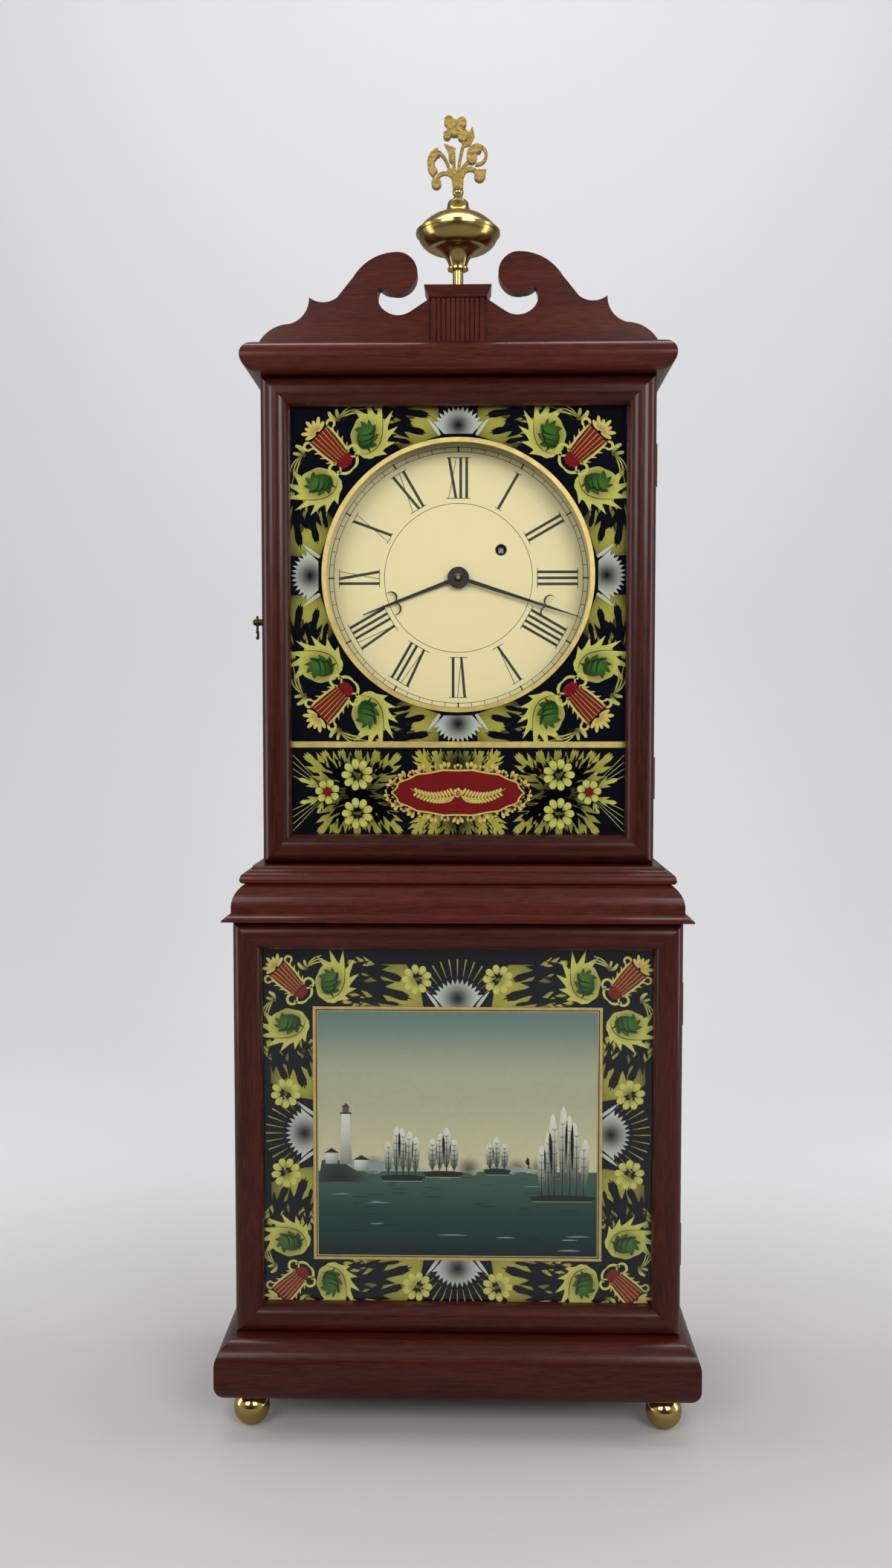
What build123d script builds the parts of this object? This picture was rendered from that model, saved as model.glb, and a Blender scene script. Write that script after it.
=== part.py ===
from build123d import *
import os
from math import atan2, cos, degrees, hypot, pi, radians, sin, sqrt

# Shelf clock with a weight-driven eight-day movement, in millimetres.
# +Z is up, the dial faces -Y, and the origin is the middle of the footprint on the shelf.
os.makedirs("parts", exist_ok=True)

# Case
base_width = 338.0
base_depth = 166.0
base_height = 42.1
base_projection = 12.0
base_nose_top = 17.5
base_nose_bottom = 13.0
lower_width = 314.0
lower_height = 294.0
lower_setback = 16.0
upper_width = 277.0
upper_height = 342.4
upper_setback = 21.0
side_thickness = 16.0
board_thickness = 18.0
backboard_thickness = 10.0
block_size = 30.0
waist_board_thickness = 12.0
waist_rail = 36.0
cornice_height = 20.0
cornice_projection = 11.1

# Waist moulding, inward and upward from its lower outer edge
waist_height = 37.3
waist_reach = 24.4
waist_lip = 1.2
waist_flare_in = 5.8
waist_flare_top = 5.3
waist_fillet_top = 8.2
waist_cove_in = 14.9
waist_cove_top = 25.4
waist_bead_in = 11.1
waist_bead_top = 29.1
waist_crown_in = 19.1
waist_board_edge = 12.9

# Feet
foot_diameter = 25.4
foot_height = 24.2
foot_flat = 0.2
foot_inset_x = 22.9
foot_inset_y = 23.0
stud_radius = 2.5
stud_length = 14.0

# Doors
door_thickness = 20.0
door_frame = 20.2
door_outer_round = 9.0
door_inner_round = 8.5
door_gap = 0.5
rebate_width = 6.0
rebate_depth = 9.0
glass_thickness = 2.0
bead_size = 5.0

# Hinges and the side hook
hinge_length = 30.0
hinge_inset = 45.0
hinge_leaf_width = 12.0
hinge_leaf_thickness = 1.0
knuckle_radius = 1.6
hinge_pin_radius = 0.8
hinge_stand_out = 0.7
hook_height = 171.4
hook_pivot_setback = 14.0
hook_reach = 9.0
hook_eye_radius = 3.0
hook_thickness = 1.5
hook_stand_off = 3.4
hook_wire = 2.2
screw_radius = 1.0
screw_head_radius = 2.3
screw_head_height = 2.4
catch_pin_radius = 1.0

# Scroll pediment and finial
scroll_thickness = 11.0
scroll_height = 61.8
scroll_setback = 19.0
plinth_width = 36.6
plinth_height = 29.9
plinth_depth = 18.0
reed_width = 3.4
reed_bead_width = 1.4
reed_groove = 0.9
reed_depth = 1.3
cap_height = 7.2
cap_flare = 4.8
cap_under_flare = 1.7
finial_stem_radius = 3.6
finial_stem_height = 13.6
finial_bowl_radius = 29.0
finial_bowl_height = 24.8
finial_lid_height = 30.5
finial_screw_radius = 2.0
spray_height = 48.4
spray_thickness = 2.8
blossom_thickness = 6.0

# Dial and hands
dial_height = 204.3
dial_radius = 103.0
dial_thickness = 1.0
dial_front = 13.0
dial_hole_radius = 5.0
winding_hole_radius = 4.2
dial_foot_radius = 2.0
hour_hand_length = 74.0
minute_hand_length = 90.3
hand_thickness = 0.6
hour_horn_place = 50.9
minute_horn_place = 68.4
hand_boss_radius = 7.7
horn_span = 7.7
shown_hour = 8.3

# Movement plates
plate_front = 10.0
plate_thickness = 2.5
plate_space = 37.5
plate_left = 44.0
plate_right = 58.0
plate_low = 39.9
plate_high = 88.1
pillar_radius = 4.0
pillar_inset = 6.0
tenon_radius = 2.0
fit = 0.05
clearance = 0.3

# Wheel train: tooth counts and arbor places from the centre arbor
great_teeth = 96
centre_pinion_teeth = 8
centre_teeth = 80
third_pinion_teeth = 8
third_teeth = 75
escape_pinion_teeth = 8
escape_teeth = 30
cannon_teeth = 12
minute_teeth = 36
minute_pinion_teeth = 10
hour_teeth = 40
drum_x = 30.7
drum_z = 20.1
third_x = -17.0
third_z = 20.3
escape_x = -8.0
escape_z = 41.3
verge_z = 64.0
minute_angle = 215.0
motion_distance = 18.0
wheel_thickness = 1.5
great_thickness = 2.0
arbor_radius = 1.3
pivot_radius = 0.6
escape_radius = 17.0

# Drum, weight and pulley
drum_radius = 6.15
drum_flange_radius = 9.5
drum_length = 24.0
drum_arbor_radius = 3.0
ratchet_radius = 13.0
ratchet_teeth = 24
cord_radius = 0.8
cord_gap = 0.3
pulley_radius = 8.9
pulley_flange = 3.4
pulley_width = 5.0
pulley_pin_radius = 1.5
weight_width = 60.0
weight_depth = 40.0
weight_height = 90.0
weight_clearance = 3.7
weight_to_pulley = 18.0

# Pendulum
pendulum_length = 407.0
pendulum_plane = 2.5
rod_width = 4.0
rod_thickness = 1.2
ring_radius = 11.0
ring_width = 3.0
bob_radius = 38.0
bob_thickness = 14.0
bob_edge = 1.6
nut_radius = 6.0
nut_height = 6.0
rod_below_nut = 8.0

# Places worked out from the sizes above
front_face = -base_depth / 2
back_face = base_depth / 2
base_low = foot_height
base_top = base_low + base_height
lower_top = base_top + lower_height
waist_board_top = lower_top + waist_board_thickness
waist_top = lower_top + waist_height
upper_top = waist_top + upper_height
cornice_top = upper_top + cornice_height
lower_face = front_face + lower_setback
upper_face = lower_face + upper_setback
lower_front = lower_face + door_thickness + door_gap
upper_front = upper_face + door_thickness + door_gap
backboard_front = back_face - backboard_thickness
lower_inside = lower_width / 2 - side_thickness
upper_inside = upper_width / 2 - side_thickness
waist_half = upper_width / 2 + waist_reach
waist_face = -(waist_half - lower_width / 2) + lower_face
centre_z = waist_top + dial_height
movement_back = plate_front + plate_thickness + plate_space
full_height = cornice_top * 4


def arc_rise(radius, reach):
    """Height gained by an arc that starts upright and goes in by reach."""
    inward = min(reach, radius)
    return sqrt(radius**2 - (radius - inward) ** 2)


def mitre(half_width, face):
    """Plane through the front left corner of a frame, at 45 degrees in plan."""
    return Plane(origin=(-half_width, face, 0), z_dir=(1, -1, 0))


def front_run(half_width, face, low):
    """Plane for the section of a front moulding: local x goes inward, local y up."""
    return Plane(origin=(0, face, low), x_dir=(0, 1, 0), z_dir=(1, 0, 0))


def side_run(half_width, low):
    """Plane at the back for the section of a left side moulding."""
    return Plane(origin=(-half_width, back_face, low), x_dir=(1, 0, 0), z_dir=(0, -1, 0))


def base_section():
    """Base moulding: a broad round above and a smaller one below."""
    low_rise = arc_rise(base_nose_bottom, base_projection)
    top_rise = arc_rise(base_nose_top, base_projection)
    half = base_projection / 3
    low_mid = low_rise - arc_rise(base_nose_bottom, half)
    top_mid = base_height - top_rise + arc_rise(base_nose_top, half)
    with BuildSketch() as section:
        with BuildLine():
            ThreePointArc((base_projection, 0), (half, low_mid), (0, low_rise))
            Line((0, low_rise), (0, base_height - top_rise))
            ThreePointArc((0, base_height - top_rise), (half, top_mid), (base_projection, base_height))
            Line((base_projection, base_height), (base_projection, 0))
        make_face()
    return section.sketch


def waist_section():
    """Waist moulding: flare, fillet, cove, bead and ogee crown, rebated over the waist board."""
    flare_mid = (waist_flare_in * 0.62, (waist_lip + waist_flare_top) * 0.47)
    cove_mid = (waist_flare_in + (waist_cove_in - waist_flare_in) * 0.28,
                waist_fillet_top + (waist_cove_top - waist_fillet_top) * 0.62)
    bead_step = (waist_bead_in + waist_cove_in) / 2
    bead_rise = waist_bead_top - waist_cove_top
    crown_mid = ((waist_bead_in + waist_crown_in) / 2, (waist_bead_top + waist_height) / 2)
    with BuildSketch() as section:
        with BuildLine():
            Line((0, 0), (0, waist_lip))
            ThreePointArc((0, waist_lip), flare_mid, (waist_flare_in, waist_flare_top))
            Line((waist_flare_in, waist_flare_top), (waist_flare_in, waist_fillet_top))
            ThreePointArc((waist_flare_in, waist_fillet_top), cove_mid, (waist_cove_in, waist_cove_top))
            Line((waist_cove_in, waist_cove_top), (bead_step, waist_cove_top))
            ThreePointArc((bead_step, waist_cove_top),
                          (waist_bead_in + 0.2, waist_cove_top + bead_rise * 0.35),
                          (waist_bead_in, waist_bead_top))
            ThreePointArc((waist_bead_in, waist_bead_top),
                          (waist_bead_in + 1.4, crown_mid[1] - 1.3), crown_mid)
            ThreePointArc(crown_mid, (waist_crown_in - 1.4, crown_mid[1] + 1.3),
                          (waist_crown_in, waist_height))
            Polyline((waist_crown_in, waist_height), (waist_reach, waist_height),
                     (waist_reach, waist_board_thickness), (waist_board_edge, waist_board_thickness),
                     (waist_board_edge, 0), (0, 0))
        make_face()
    return section.sketch


def cornice_section():
    """Cornice moulding: one half round, the full height of the cornice."""
    nose = min(cornice_height / 2, cornice_projection)
    with BuildSketch() as section:
        with BuildLine():
            ThreePointArc((nose, 0), (0, cornice_height / 2), (nose, cornice_height))
            Polyline((nose, cornice_height), (cornice_projection, cornice_height),
                     (cornice_projection, 0), (nose, 0))
        make_face()
    return section.sketch


def door_section():
    """Door frame member: local x from the outer edge inward, local y from the back to the front."""
    crown = door_frame - door_outer_round - door_inner_round
    outer_low = door_thickness - door_outer_round
    inner_low = door_thickness - door_inner_round
    bend = sqrt(0.5)
    with BuildSketch() as section:
        with BuildLine():
            Line((0, 0), (0, outer_low))
            ThreePointArc((0, outer_low),
                          (door_outer_round * (1 - bend), outer_low + door_outer_round * bend),
                          (door_outer_round, door_thickness))
            Line((door_outer_round, door_thickness), (door_outer_round + crown, door_thickness))
            ThreePointArc((door_outer_round + crown, door_thickness),
                          (door_frame - door_inner_round * (1 - bend), inner_low + door_inner_round * bend),
                          (door_frame, inner_low))
            Polyline((door_frame, inner_low), (door_frame, rebate_depth),
                     (door_frame - rebate_width, rebate_depth), (door_frame - rebate_width, 0), (0, 0))
        make_face()
    return section.sketch


def gear(teeth, module, addendum, dedendum, tooth_share, tip_share, start=0.0):
    """Outline of a wheel or pinion with straight-sided teeth, one tooth centred at the start angle."""
    pitch_radius = module * teeth / 2
    tip = pitch_radius + addendum * module
    root = pitch_radius - dedendum * module
    step = 360 / teeth
    points = []
    for tooth in range(teeth):
        middle = start + tooth * step
        root_half = step * tooth_share / 2
        tip_half = step * tip_share / 2
        for radius, angle in ((root, -root_half), (tip, -tip_half), (tip, tip_half), (root, root_half)):
            turn = radians(middle + angle)
            points.append((radius * cos(turn), radius * sin(turn)))
    with BuildSketch() as outline:
        with BuildLine():
            Polyline(*points, close=True)
        make_face()
    return outline.sketch


def saw_wheel(teeth, radius, depth, undercut, start=0.0):
    """Outline of a ratchet or escape wheel with pointed teeth that lean one way."""
    step = 360 / teeth
    points = []
    for tooth in range(teeth):
        middle = start + tooth * step
        for place, angle in ((radius, 0.0), (radius - depth, step * undercut)):
            turn = radians(middle + angle)
            points.append((place * cos(turn), place * sin(turn)))
    with BuildSketch() as outline:
        with BuildLine():
            Polyline(*points, close=True)
        make_face()
    return outline.sketch


def crossing(inner, outer, arm_width, arms):
    """One window between the arms of a wheel; the caller repeats it round the axis."""
    half = pi / arms
    inner_turn = half - arm_width / 2 / inner
    outer_turn = half - arm_width / 2 / outer
    with BuildSketch() as window:
        with BuildLine():
            Line((inner * cos(inner_turn), inner * sin(inner_turn)),
                 (outer * cos(outer_turn), outer * sin(outer_turn)))
            ThreePointArc((outer * cos(outer_turn), outer * sin(outer_turn)), (outer, 0),
                          (outer * cos(outer_turn), -outer * sin(outer_turn)))
            Line((outer * cos(outer_turn), -outer * sin(outer_turn)),
                 (inner * cos(inner_turn), -inner * sin(inner_turn)))
            ThreePointArc((inner * cos(inner_turn), -inner * sin(inner_turn)), (inner, 0),
                          (inner * cos(inner_turn), inner * sin(inner_turn)))
        make_face()
    return window.sketch


def facing(x, y, z):
    """Plane seen from the front at a depth: local x to the right, local y up, extruding backward is negative."""
    return Plane(origin=(x, y, z), x_dir=(1, 0, 0), z_dir=(0, -1, 0))


def hinge_levels(low, high):
    """Heights of the lower ends of the two hinges of a door."""
    return (low + hinge_inset, high - hinge_inset - hinge_length)


# Feet: turned brass balls with studs that screw up into the corner blocks
foot_x = base_width / 2 - foot_inset_x
foot_y = base_depth / 2 - foot_inset_y
foot_places = [(x, y) for x in (-foot_x, foot_x) for y in (-foot_y, foot_y)]
foot_centre = foot_diameter / 2 - foot_flat
foot_trim = foot_diameter * 2
with BuildPart() as ball_feet:
    with Locations(*[(x, y, foot_centre) for x, y in foot_places]):
        Sphere(foot_diameter / 2)
    with BuildSketch(Plane.XY):
        with Locations(*foot_places):
            Circle(foot_diameter)
    extrude(amount=foot_height, mode=Mode.INTERSECT)
    with BuildSketch(Plane.XY.offset(foot_height)):
        with Locations(*foot_places):
            Circle(stud_radius)
    extrude(amount=stud_length)
ball_feet.part.label = "ball_feet"
export_step(ball_feet.part, "parts/ball_feet.step")

# Base: a board with mouldings round it and blocks under its corners
board_low = base_top - board_thickness
board_half = base_width / 2 - base_projection
board_face = front_face + base_projection
with BuildPart() as base_board:
    with BuildSketch(Plane.XY.offset(board_low)):
        with Locations((0, (board_face + back_face) / 2)):
            Rectangle(board_half * 2, back_face - board_face)
    extrude(amount=board_thickness)
base_board.part.label = "base_board"
export_step(base_board.part, "parts/base_board.step")

block_x = board_half - block_size / 2
block_front = board_face + block_size / 2
block_back = back_face - side_thickness - block_size / 2
with BuildPart() as base_blocks:
    with BuildSketch(Plane.XY.offset(base_low)):
        with Locations(*[(x, y) for x in (-block_x, block_x) for y in (block_front, block_back)]):
            Rectangle(block_size, block_size)
        with Locations((0, back_face - side_thickness / 2)):
            Rectangle(board_half * 2, side_thickness)
        with Locations(*foot_places):
            Circle(stud_radius + fit, mode=Mode.SUBTRACT)
    extrude(amount=board_low - base_low)
base_blocks.part.label = "base_blocks"
export_step(base_blocks.part, "parts/base_blocks.step")

with BuildPart() as base_front_moulding:
    with BuildSketch(front_run(base_width / 2, front_face, base_low)):
        add(base_section())
    extrude(amount=-base_width / 2)
    split(bisect_by=mitre(base_width / 2, front_face), keep=Keep.TOP)
    mirror(about=Plane.YZ)
base_front_moulding.part.label = "base_front_moulding"
export_step(base_front_moulding.part, "parts/base_front_moulding.step")

with BuildPart() as base_side_mouldings:
    with BuildSketch(side_run(base_width / 2, base_low)):
        add(base_section())
    extrude(amount=base_depth)
    split(bisect_by=mitre(base_width / 2, front_face), keep=Keep.BOTTOM)
    mirror(about=Plane.YZ)
base_side_mouldings.part.label = "base_side_mouldings"
export_step(base_side_mouldings.part, "parts/base_side_mouldings.step")

# Hinge axes: the knuckles stand half out of the side, in the gap behind each door
lower_hinge_x = lower_width / 2 + hinge_stand_out
lower_hinge_y = lower_front - door_gap / 2
upper_hinge_x = upper_width / 2 + hinge_stand_out
upper_hinge_y = upper_front - door_gap / 2
lower_door_low = base_top + door_gap
lower_door_high = lower_top - door_gap
upper_door_low = waist_top + door_gap
upper_door_high = upper_top - door_gap
lower_hinges = hinge_levels(lower_door_low, lower_door_high)
upper_hinges = hinge_levels(upper_door_low, upper_door_high)
knuckle_room = knuckle_radius + clearance
leaf_room = hinge_leaf_thickness + clearance


def hinge_mortise(axis_x, axis_y, levels, toward):
    """Recess for a leaf and its knuckle; toward is -1 in the door and 1 in the case."""
    shapes = []
    for level in levels:
        with BuildPart(mode=Mode.PRIVATE) as recess:
            with BuildSketch(Plane((axis_x, axis_y, level - clearance))):
                Circle(knuckle_room)
                with Locations((-hinge_leaf_width / 2, toward * (door_gap / 2 + leaf_room) / 2)):
                    Rectangle(hinge_leaf_width + clearance * 2, door_gap / 2 + leaf_room)
            extrude(amount=hinge_length + clearance * 2)
        shapes.append(recess.part)
    return shapes


# Lower case
with BuildPart() as lower_sides:
    with BuildSketch(Plane.XY.offset(base_top)):
        with Locations((lower_width / 2 - side_thickness / 2, (lower_front + back_face) / 2)):
            Rectangle(side_thickness, back_face - lower_front)
    extrude(amount=lower_height)
    mirror(about=Plane.YZ)
    for recess in hinge_mortise(lower_hinge_x, lower_hinge_y, lower_hinges, 1):
        add(recess, mode=Mode.SUBTRACT)
lower_sides.part.label = "lower_sides"
export_step(lower_sides.part, "parts/lower_sides.step")

with BuildPart() as lower_backboard:
    with BuildSketch(Plane.XY.offset(base_top)):
        with Locations((0, back_face - backboard_thickness / 2)):
            Rectangle(lower_inside * 2, backboard_thickness)
    extrude(amount=lower_height)
lower_backboard.part.label = "lower_backboard"
export_step(lower_backboard.part, "parts/lower_backboard.step")

# Waist: four rails that leave a way down for the pendulum and the weight, and the moulding round them
waist_board_half = waist_half - waist_board_edge
waist_board_face = waist_face + waist_board_edge
rail_middle = (waist_board_face + back_face) / 2
with BuildPart() as waist_frame:
    with BuildSketch(Plane.XY.offset(lower_top)):
        with Locations((0, waist_board_face + waist_rail / 2)):
            Rectangle(waist_board_half * 2, waist_rail)
        with Locations((0, back_face - side_thickness / 2)):
            Rectangle(waist_board_half * 2, side_thickness)
        with Locations((-waist_board_half + waist_rail / 2, rail_middle), (waist_board_half - waist_rail / 2, rail_middle)):
            Rectangle(waist_rail, back_face - waist_board_face)
    extrude(amount=waist_board_thickness)
waist_frame.part.label = "waist_frame"
export_step(waist_frame.part, "parts/waist_frame.step")

sill_face = waist_face + waist_reach
with BuildPart() as waist_front_moulding:
    with BuildSketch(front_run(waist_half, waist_face, lower_top)):
        add(waist_section())
    extrude(amount=-waist_half)
    split(bisect_by=mitre(waist_half, waist_face), keep=Keep.TOP)
    with BuildSketch(Plane.XY.offset(waist_board_top)):
        with Locations((-upper_width / 4, (sill_face + upper_front) / 2)):
            Rectangle(upper_width / 2, upper_front - sill_face)
    extrude(amount=waist_top - waist_board_top)
    mirror(about=Plane.YZ)
waist_front_moulding.part.label = "waist_front_moulding"
export_step(waist_front_moulding.part, "parts/waist_front_moulding.step")

with BuildPart() as waist_side_mouldings:
    with BuildSketch(side_run(waist_half, lower_top)):
        add(waist_section())
    extrude(amount=back_face - waist_face)
    split(bisect_by=mitre(waist_half, waist_face), keep=Keep.BOTTOM)
    mirror(about=Plane.YZ)
waist_side_mouldings.part.label = "waist_side_mouldings"
export_step(waist_side_mouldings.part, "parts/waist_side_mouldings.step")

# Upper case; the left side takes the catch pin of the hook
hook_pivot_y = upper_face + hook_pivot_setback
hook_z = waist_top + hook_height
catch_y = hook_pivot_y + hook_reach
with BuildPart() as upper_sides:
    with BuildSketch(Plane.XY.offset(waist_board_top)):
        with Locations((upper_width / 2 - side_thickness / 2, (upper_front + back_face) / 2)):
            Rectangle(side_thickness, back_face - upper_front)
    extrude(amount=upper_top - waist_board_top)
    mirror(about=Plane.YZ)
    for recess in hinge_mortise(upper_hinge_x, upper_hinge_y, upper_hinges, 1):
        add(recess, mode=Mode.SUBTRACT)
    with BuildSketch(Plane((-upper_width / 2, catch_y, hook_z), x_dir=(0, 1, 0), z_dir=(-1, 0, 0))):
        Circle(catch_pin_radius + fit)
    extrude(amount=-side_thickness / 2, mode=Mode.SUBTRACT)
upper_sides.part.label = "upper_sides"
export_step(upper_sides.part, "parts/upper_sides.step")

# Arbor places in the movement, seen from the front
drum_place = (drum_x, centre_z + drum_z)
third_place = (third_x, centre_z + third_z)
escape_place = (escape_x, centre_z + escape_z)
verge_place = (0, centre_z + verge_z)
minute_place = (motion_distance * cos(radians(minute_angle)),
                centre_z + motion_distance * sin(radians(minute_angle)))
pillar_places = [(x, z)
                 for x in (pillar_inset - plate_left, plate_right - pillar_inset)
                 for z in (centre_z - plate_low + pillar_inset, centre_z + plate_high - 2 * pillar_inset)]
plate_middle = ((plate_right - plate_left) / 2, centre_z + (plate_high - plate_low) / 2)

with BuildPart() as upper_backboard:
    with BuildSketch(Plane.XY.offset(waist_board_top)):
        with Locations((0, back_face - backboard_thickness / 2)):
            Rectangle(upper_inside * 2, backboard_thickness)
    extrude(amount=upper_top - waist_board_top)
    with BuildSketch(facing(0, backboard_front, 0)):
        with Locations(*pillar_places):
            Circle(tenon_radius + fit)
    extrude(amount=-backboard_thickness / 2, mode=Mode.SUBTRACT)
upper_backboard.part.label = "upper_backboard"
export_step(upper_backboard.part, "parts/upper_backboard.step")

# Cornice: a top board with half-round mouldings round it
cornice_half = upper_width / 2 + cornice_projection
cornice_face = upper_face - base_projection - 3.0
top_board_face = cornice_face + cornice_projection
with BuildPart() as top_board:
    with BuildSketch(Plane.XY.offset(upper_top)):
        with Locations((0, (top_board_face + back_face) / 2)):
            Rectangle(upper_width, back_face - top_board_face)
    extrude(amount=cornice_height)
top_board.part.label = "top_board"
export_step(top_board.part, "parts/top_board.step")

with BuildPart() as cornice_front:
    with BuildSketch(front_run(cornice_half, cornice_face, upper_top)):
        add(cornice_section())
    extrude(amount=-cornice_half)
    split(bisect_by=mitre(cornice_half, cornice_face), keep=Keep.TOP)
    mirror(about=Plane.YZ)
cornice_front.part.label = "cornice_front"
export_step(cornice_front.part, "parts/cornice_front.step")

with BuildPart() as cornice_sides:
    with BuildSketch(side_run(cornice_half, upper_top)):
        add(cornice_section())
    extrude(amount=back_face - cornice_face)
    split(bisect_by=mitre(cornice_half, cornice_face), keep=Keep.BOTTOM)
    mirror(about=Plane.YZ)
cornice_sides.part.label = "cornice_sides"
export_step(cornice_sides.part, "parts/cornice_sides.step")

# Scroll pediment: two boards with ogee shoulders and hooked scrolls, one each side of the plinth
scroll_y = cornice_face + scroll_setback
plinth_half = plinth_width / 2
cap_under = plinth_half + cap_under_flare
with BuildPart() as scroll_boards:
    with BuildSketch(facing(0, scroll_y + scroll_thickness / 2, cornice_top)):
        with BuildLine():
            ThreePointArc((-upper_width / 2, 0), (-131.0, 8.6), (-116.5, 13.5))
            ThreePointArc((-116.5, 13.5), (-107.2, 19.2), (-102.9, 31.5))
            ThreePointArc((-102.9, 31.5), (-93.0, 28.1), (-83.4, 31.4))
            Line((-83.4, 31.4), (-72.0, 45.3))
            ThreePointArc((-72.0, 45.3), (-59.6, 57.2), (-43.0, scroll_height))
            ThreePointArc((-43.0, scroll_height), (-27.9, 47.8), (-45.5, 34.3))
            ThreePointArc((-45.5, 34.3), (-50.0, 35.3), (-53.7, 37.7))
            ThreePointArc((-53.7, 37.7), (-55.3, 30.5), (-50.6, 22.2))
            ThreePointArc((-50.6, 22.2), (-42.4, 19.0), (-33.0, 21.4))
            Polyline((-33.0, 21.4), (-cap_under, plinth_height), (-plinth_half, plinth_height),
                     (-plinth_half, 0), (-upper_width / 2, 0))
        make_face()
    extrude(amount=scroll_thickness)
    mirror(about=Plane.YZ)
scroll_boards.part.label = "scroll_boards"
export_step(scroll_boards.part, "parts/scroll_boards.step")

# Plinth: reeded on its front, with an inverted cap that carries the finial
reed_pitch = (reed_width + reed_bead_width) / 2 + reed_groove
reeds = int((plinth_width - reed_width) / (2 * reed_pitch) + 1.01)
plinth_face = scroll_y - plinth_depth / 2
with BuildPart() as finial_plinth:
    with BuildSketch(Plane.XY.offset(cornice_top)):
        with Locations((0, scroll_y)):
            Rectangle(plinth_width, plinth_depth)
        for number in range(2 * reeds - 2):
            groove_x = (number - (2 * reeds - 3) / 2) * reed_pitch
            with Locations((groove_x, plinth_face + reed_depth / 2)):
                Rectangle(reed_groove, reed_depth, mode=Mode.SUBTRACT)
    extrude(amount=plinth_height)
finial_plinth.part.label = "finial_plinth"
export_step(finial_plinth.part, "parts/finial_plinth.step")

cap_low = cornice_top + plinth_height
cap_top = cap_low + cap_height
with BuildPart() as plinth_cap:
    with BuildSketch(Plane.XY.offset(cap_low)):
        with Locations((0, scroll_y)):
            Rectangle(cap_under * 2, plinth_depth + 2 * cap_under_flare)
    with BuildSketch(Plane.XY.offset(cap_top)):
        with Locations((0, scroll_y)):
            Rectangle(plinth_width + 2 * cap_flare, plinth_depth + 2 * cap_flare)
    loft()
    with BuildSketch(Plane.XY.offset(cap_top)):
        with Locations((0, scroll_y)):
            Circle(finial_screw_radius + fit)
    extrude(amount=-cap_height, mode=Mode.SUBTRACT)
plinth_cap.part.label = "plinth_cap"
export_step(plinth_cap.part, "parts/plinth_cap.step")

# Finial: a turned stem and bowl, a domed lid and a cast spray of flowers
stem_top = cap_top + finial_stem_height
bowl_top = stem_top + finial_bowl_height
lid_top = bowl_top + finial_lid_height
turning = Plane(origin=(0, scroll_y, 0), x_dir=(1, 0, 0), z_dir=(0, -1, 0))
with BuildPart() as finial_bowl:
    with BuildSketch(turning):
        with BuildLine():
            Polyline((0, cap_top - cap_height + 1), (finial_screw_radius, cap_top - cap_height + 1),
                     (finial_screw_radius, cap_top), (finial_stem_radius + 1.2, cap_top),
                     (finial_stem_radius, cap_top + 2), (finial_stem_radius, stem_top),
                     (finial_stem_radius * 2, stem_top), (finial_stem_radius * 2, stem_top + 1.2),
                     (finial_stem_radius * 1.7, stem_top + 1.9))
            ThreePointArc((finial_stem_radius * 1.7, stem_top + 1.9),
                          (finial_bowl_radius * 0.33, stem_top + finial_bowl_height * 0.38),
                          (finial_bowl_radius * 0.57, stem_top + finial_bowl_height * 0.57))
            Line((finial_bowl_radius * 0.57, stem_top + finial_bowl_height * 0.57),
                 (finial_bowl_radius * 0.7, stem_top + finial_bowl_height * 0.57))
            ThreePointArc((finial_bowl_radius * 0.7, stem_top + finial_bowl_height * 0.57),
                          (finial_bowl_radius * 0.9, stem_top + finial_bowl_height * 0.77),
                          (finial_bowl_radius * 0.965, bowl_top - 1))
            Polyline((finial_bowl_radius * 0.965, bowl_top - 1), (finial_bowl_radius, bowl_top - 1),
                     (finial_bowl_radius, bowl_top), (0, bowl_top), (0, cap_top - cap_height + 1))
        make_face()
    revolve(axis=Axis((0, scroll_y, 0), (0, 0, 1)))
finial_bowl.part.label = "finial_bowl"
export_step(finial_bowl.part, "parts/finial_bowl.step")

with BuildPart() as finial_lid:
    with BuildSketch(turning):
        with BuildLine():
            Polyline((0, bowl_top), (finial_bowl_radius, bowl_top), (finial_bowl_radius, bowl_top + 1),
                     (finial_bowl_radius * 0.965, bowl_top + 1))
            ThreePointArc((finial_bowl_radius * 0.965, bowl_top + 1),
                          (finial_bowl_radius * 0.8, bowl_top + finial_lid_height * 0.22),
                          (finial_bowl_radius * 0.5, bowl_top + finial_lid_height * 0.4))
            Line((finial_bowl_radius * 0.5, bowl_top + finial_lid_height * 0.4),
                 (finial_bowl_radius * 0.4, bowl_top + finial_lid_height * 0.4))
            ThreePointArc((finial_bowl_radius * 0.4, bowl_top + finial_lid_height * 0.4),
                          (finial_bowl_radius * 0.29, bowl_top + finial_lid_height * 0.52),
                          (finial_bowl_radius * 0.25, bowl_top + finial_lid_height * 0.66))
            ThreePointArc((finial_bowl_radius * 0.25, bowl_top + finial_lid_height * 0.66),
                          (finial_bowl_radius * 0.2, bowl_top + finial_lid_height * 0.73),
                          (finial_bowl_radius * 0.11, bowl_top + finial_lid_height * 0.75))
            Line((finial_bowl_radius * 0.11, bowl_top + finial_lid_height * 0.75),
                 (finial_bowl_radius * 0.1, bowl_top + finial_lid_height * 0.84))
            ThreePointArc((finial_bowl_radius * 0.1, bowl_top + finial_lid_height * 0.84),
                          (finial_bowl_radius * 0.125, bowl_top + finial_lid_height * 0.88),
                          (finial_bowl_radius * 0.095, lid_top))
            Polyline((finial_bowl_radius * 0.095, lid_top), (0, lid_top), (0, bowl_top))
        make_face()
    revolve(axis=Axis((0, scroll_y, 0), (0, 0, 1)))
finial_lid.part.label = "finial_lid"
export_step(finial_lid.part, "parts/finial_lid.step")


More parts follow.
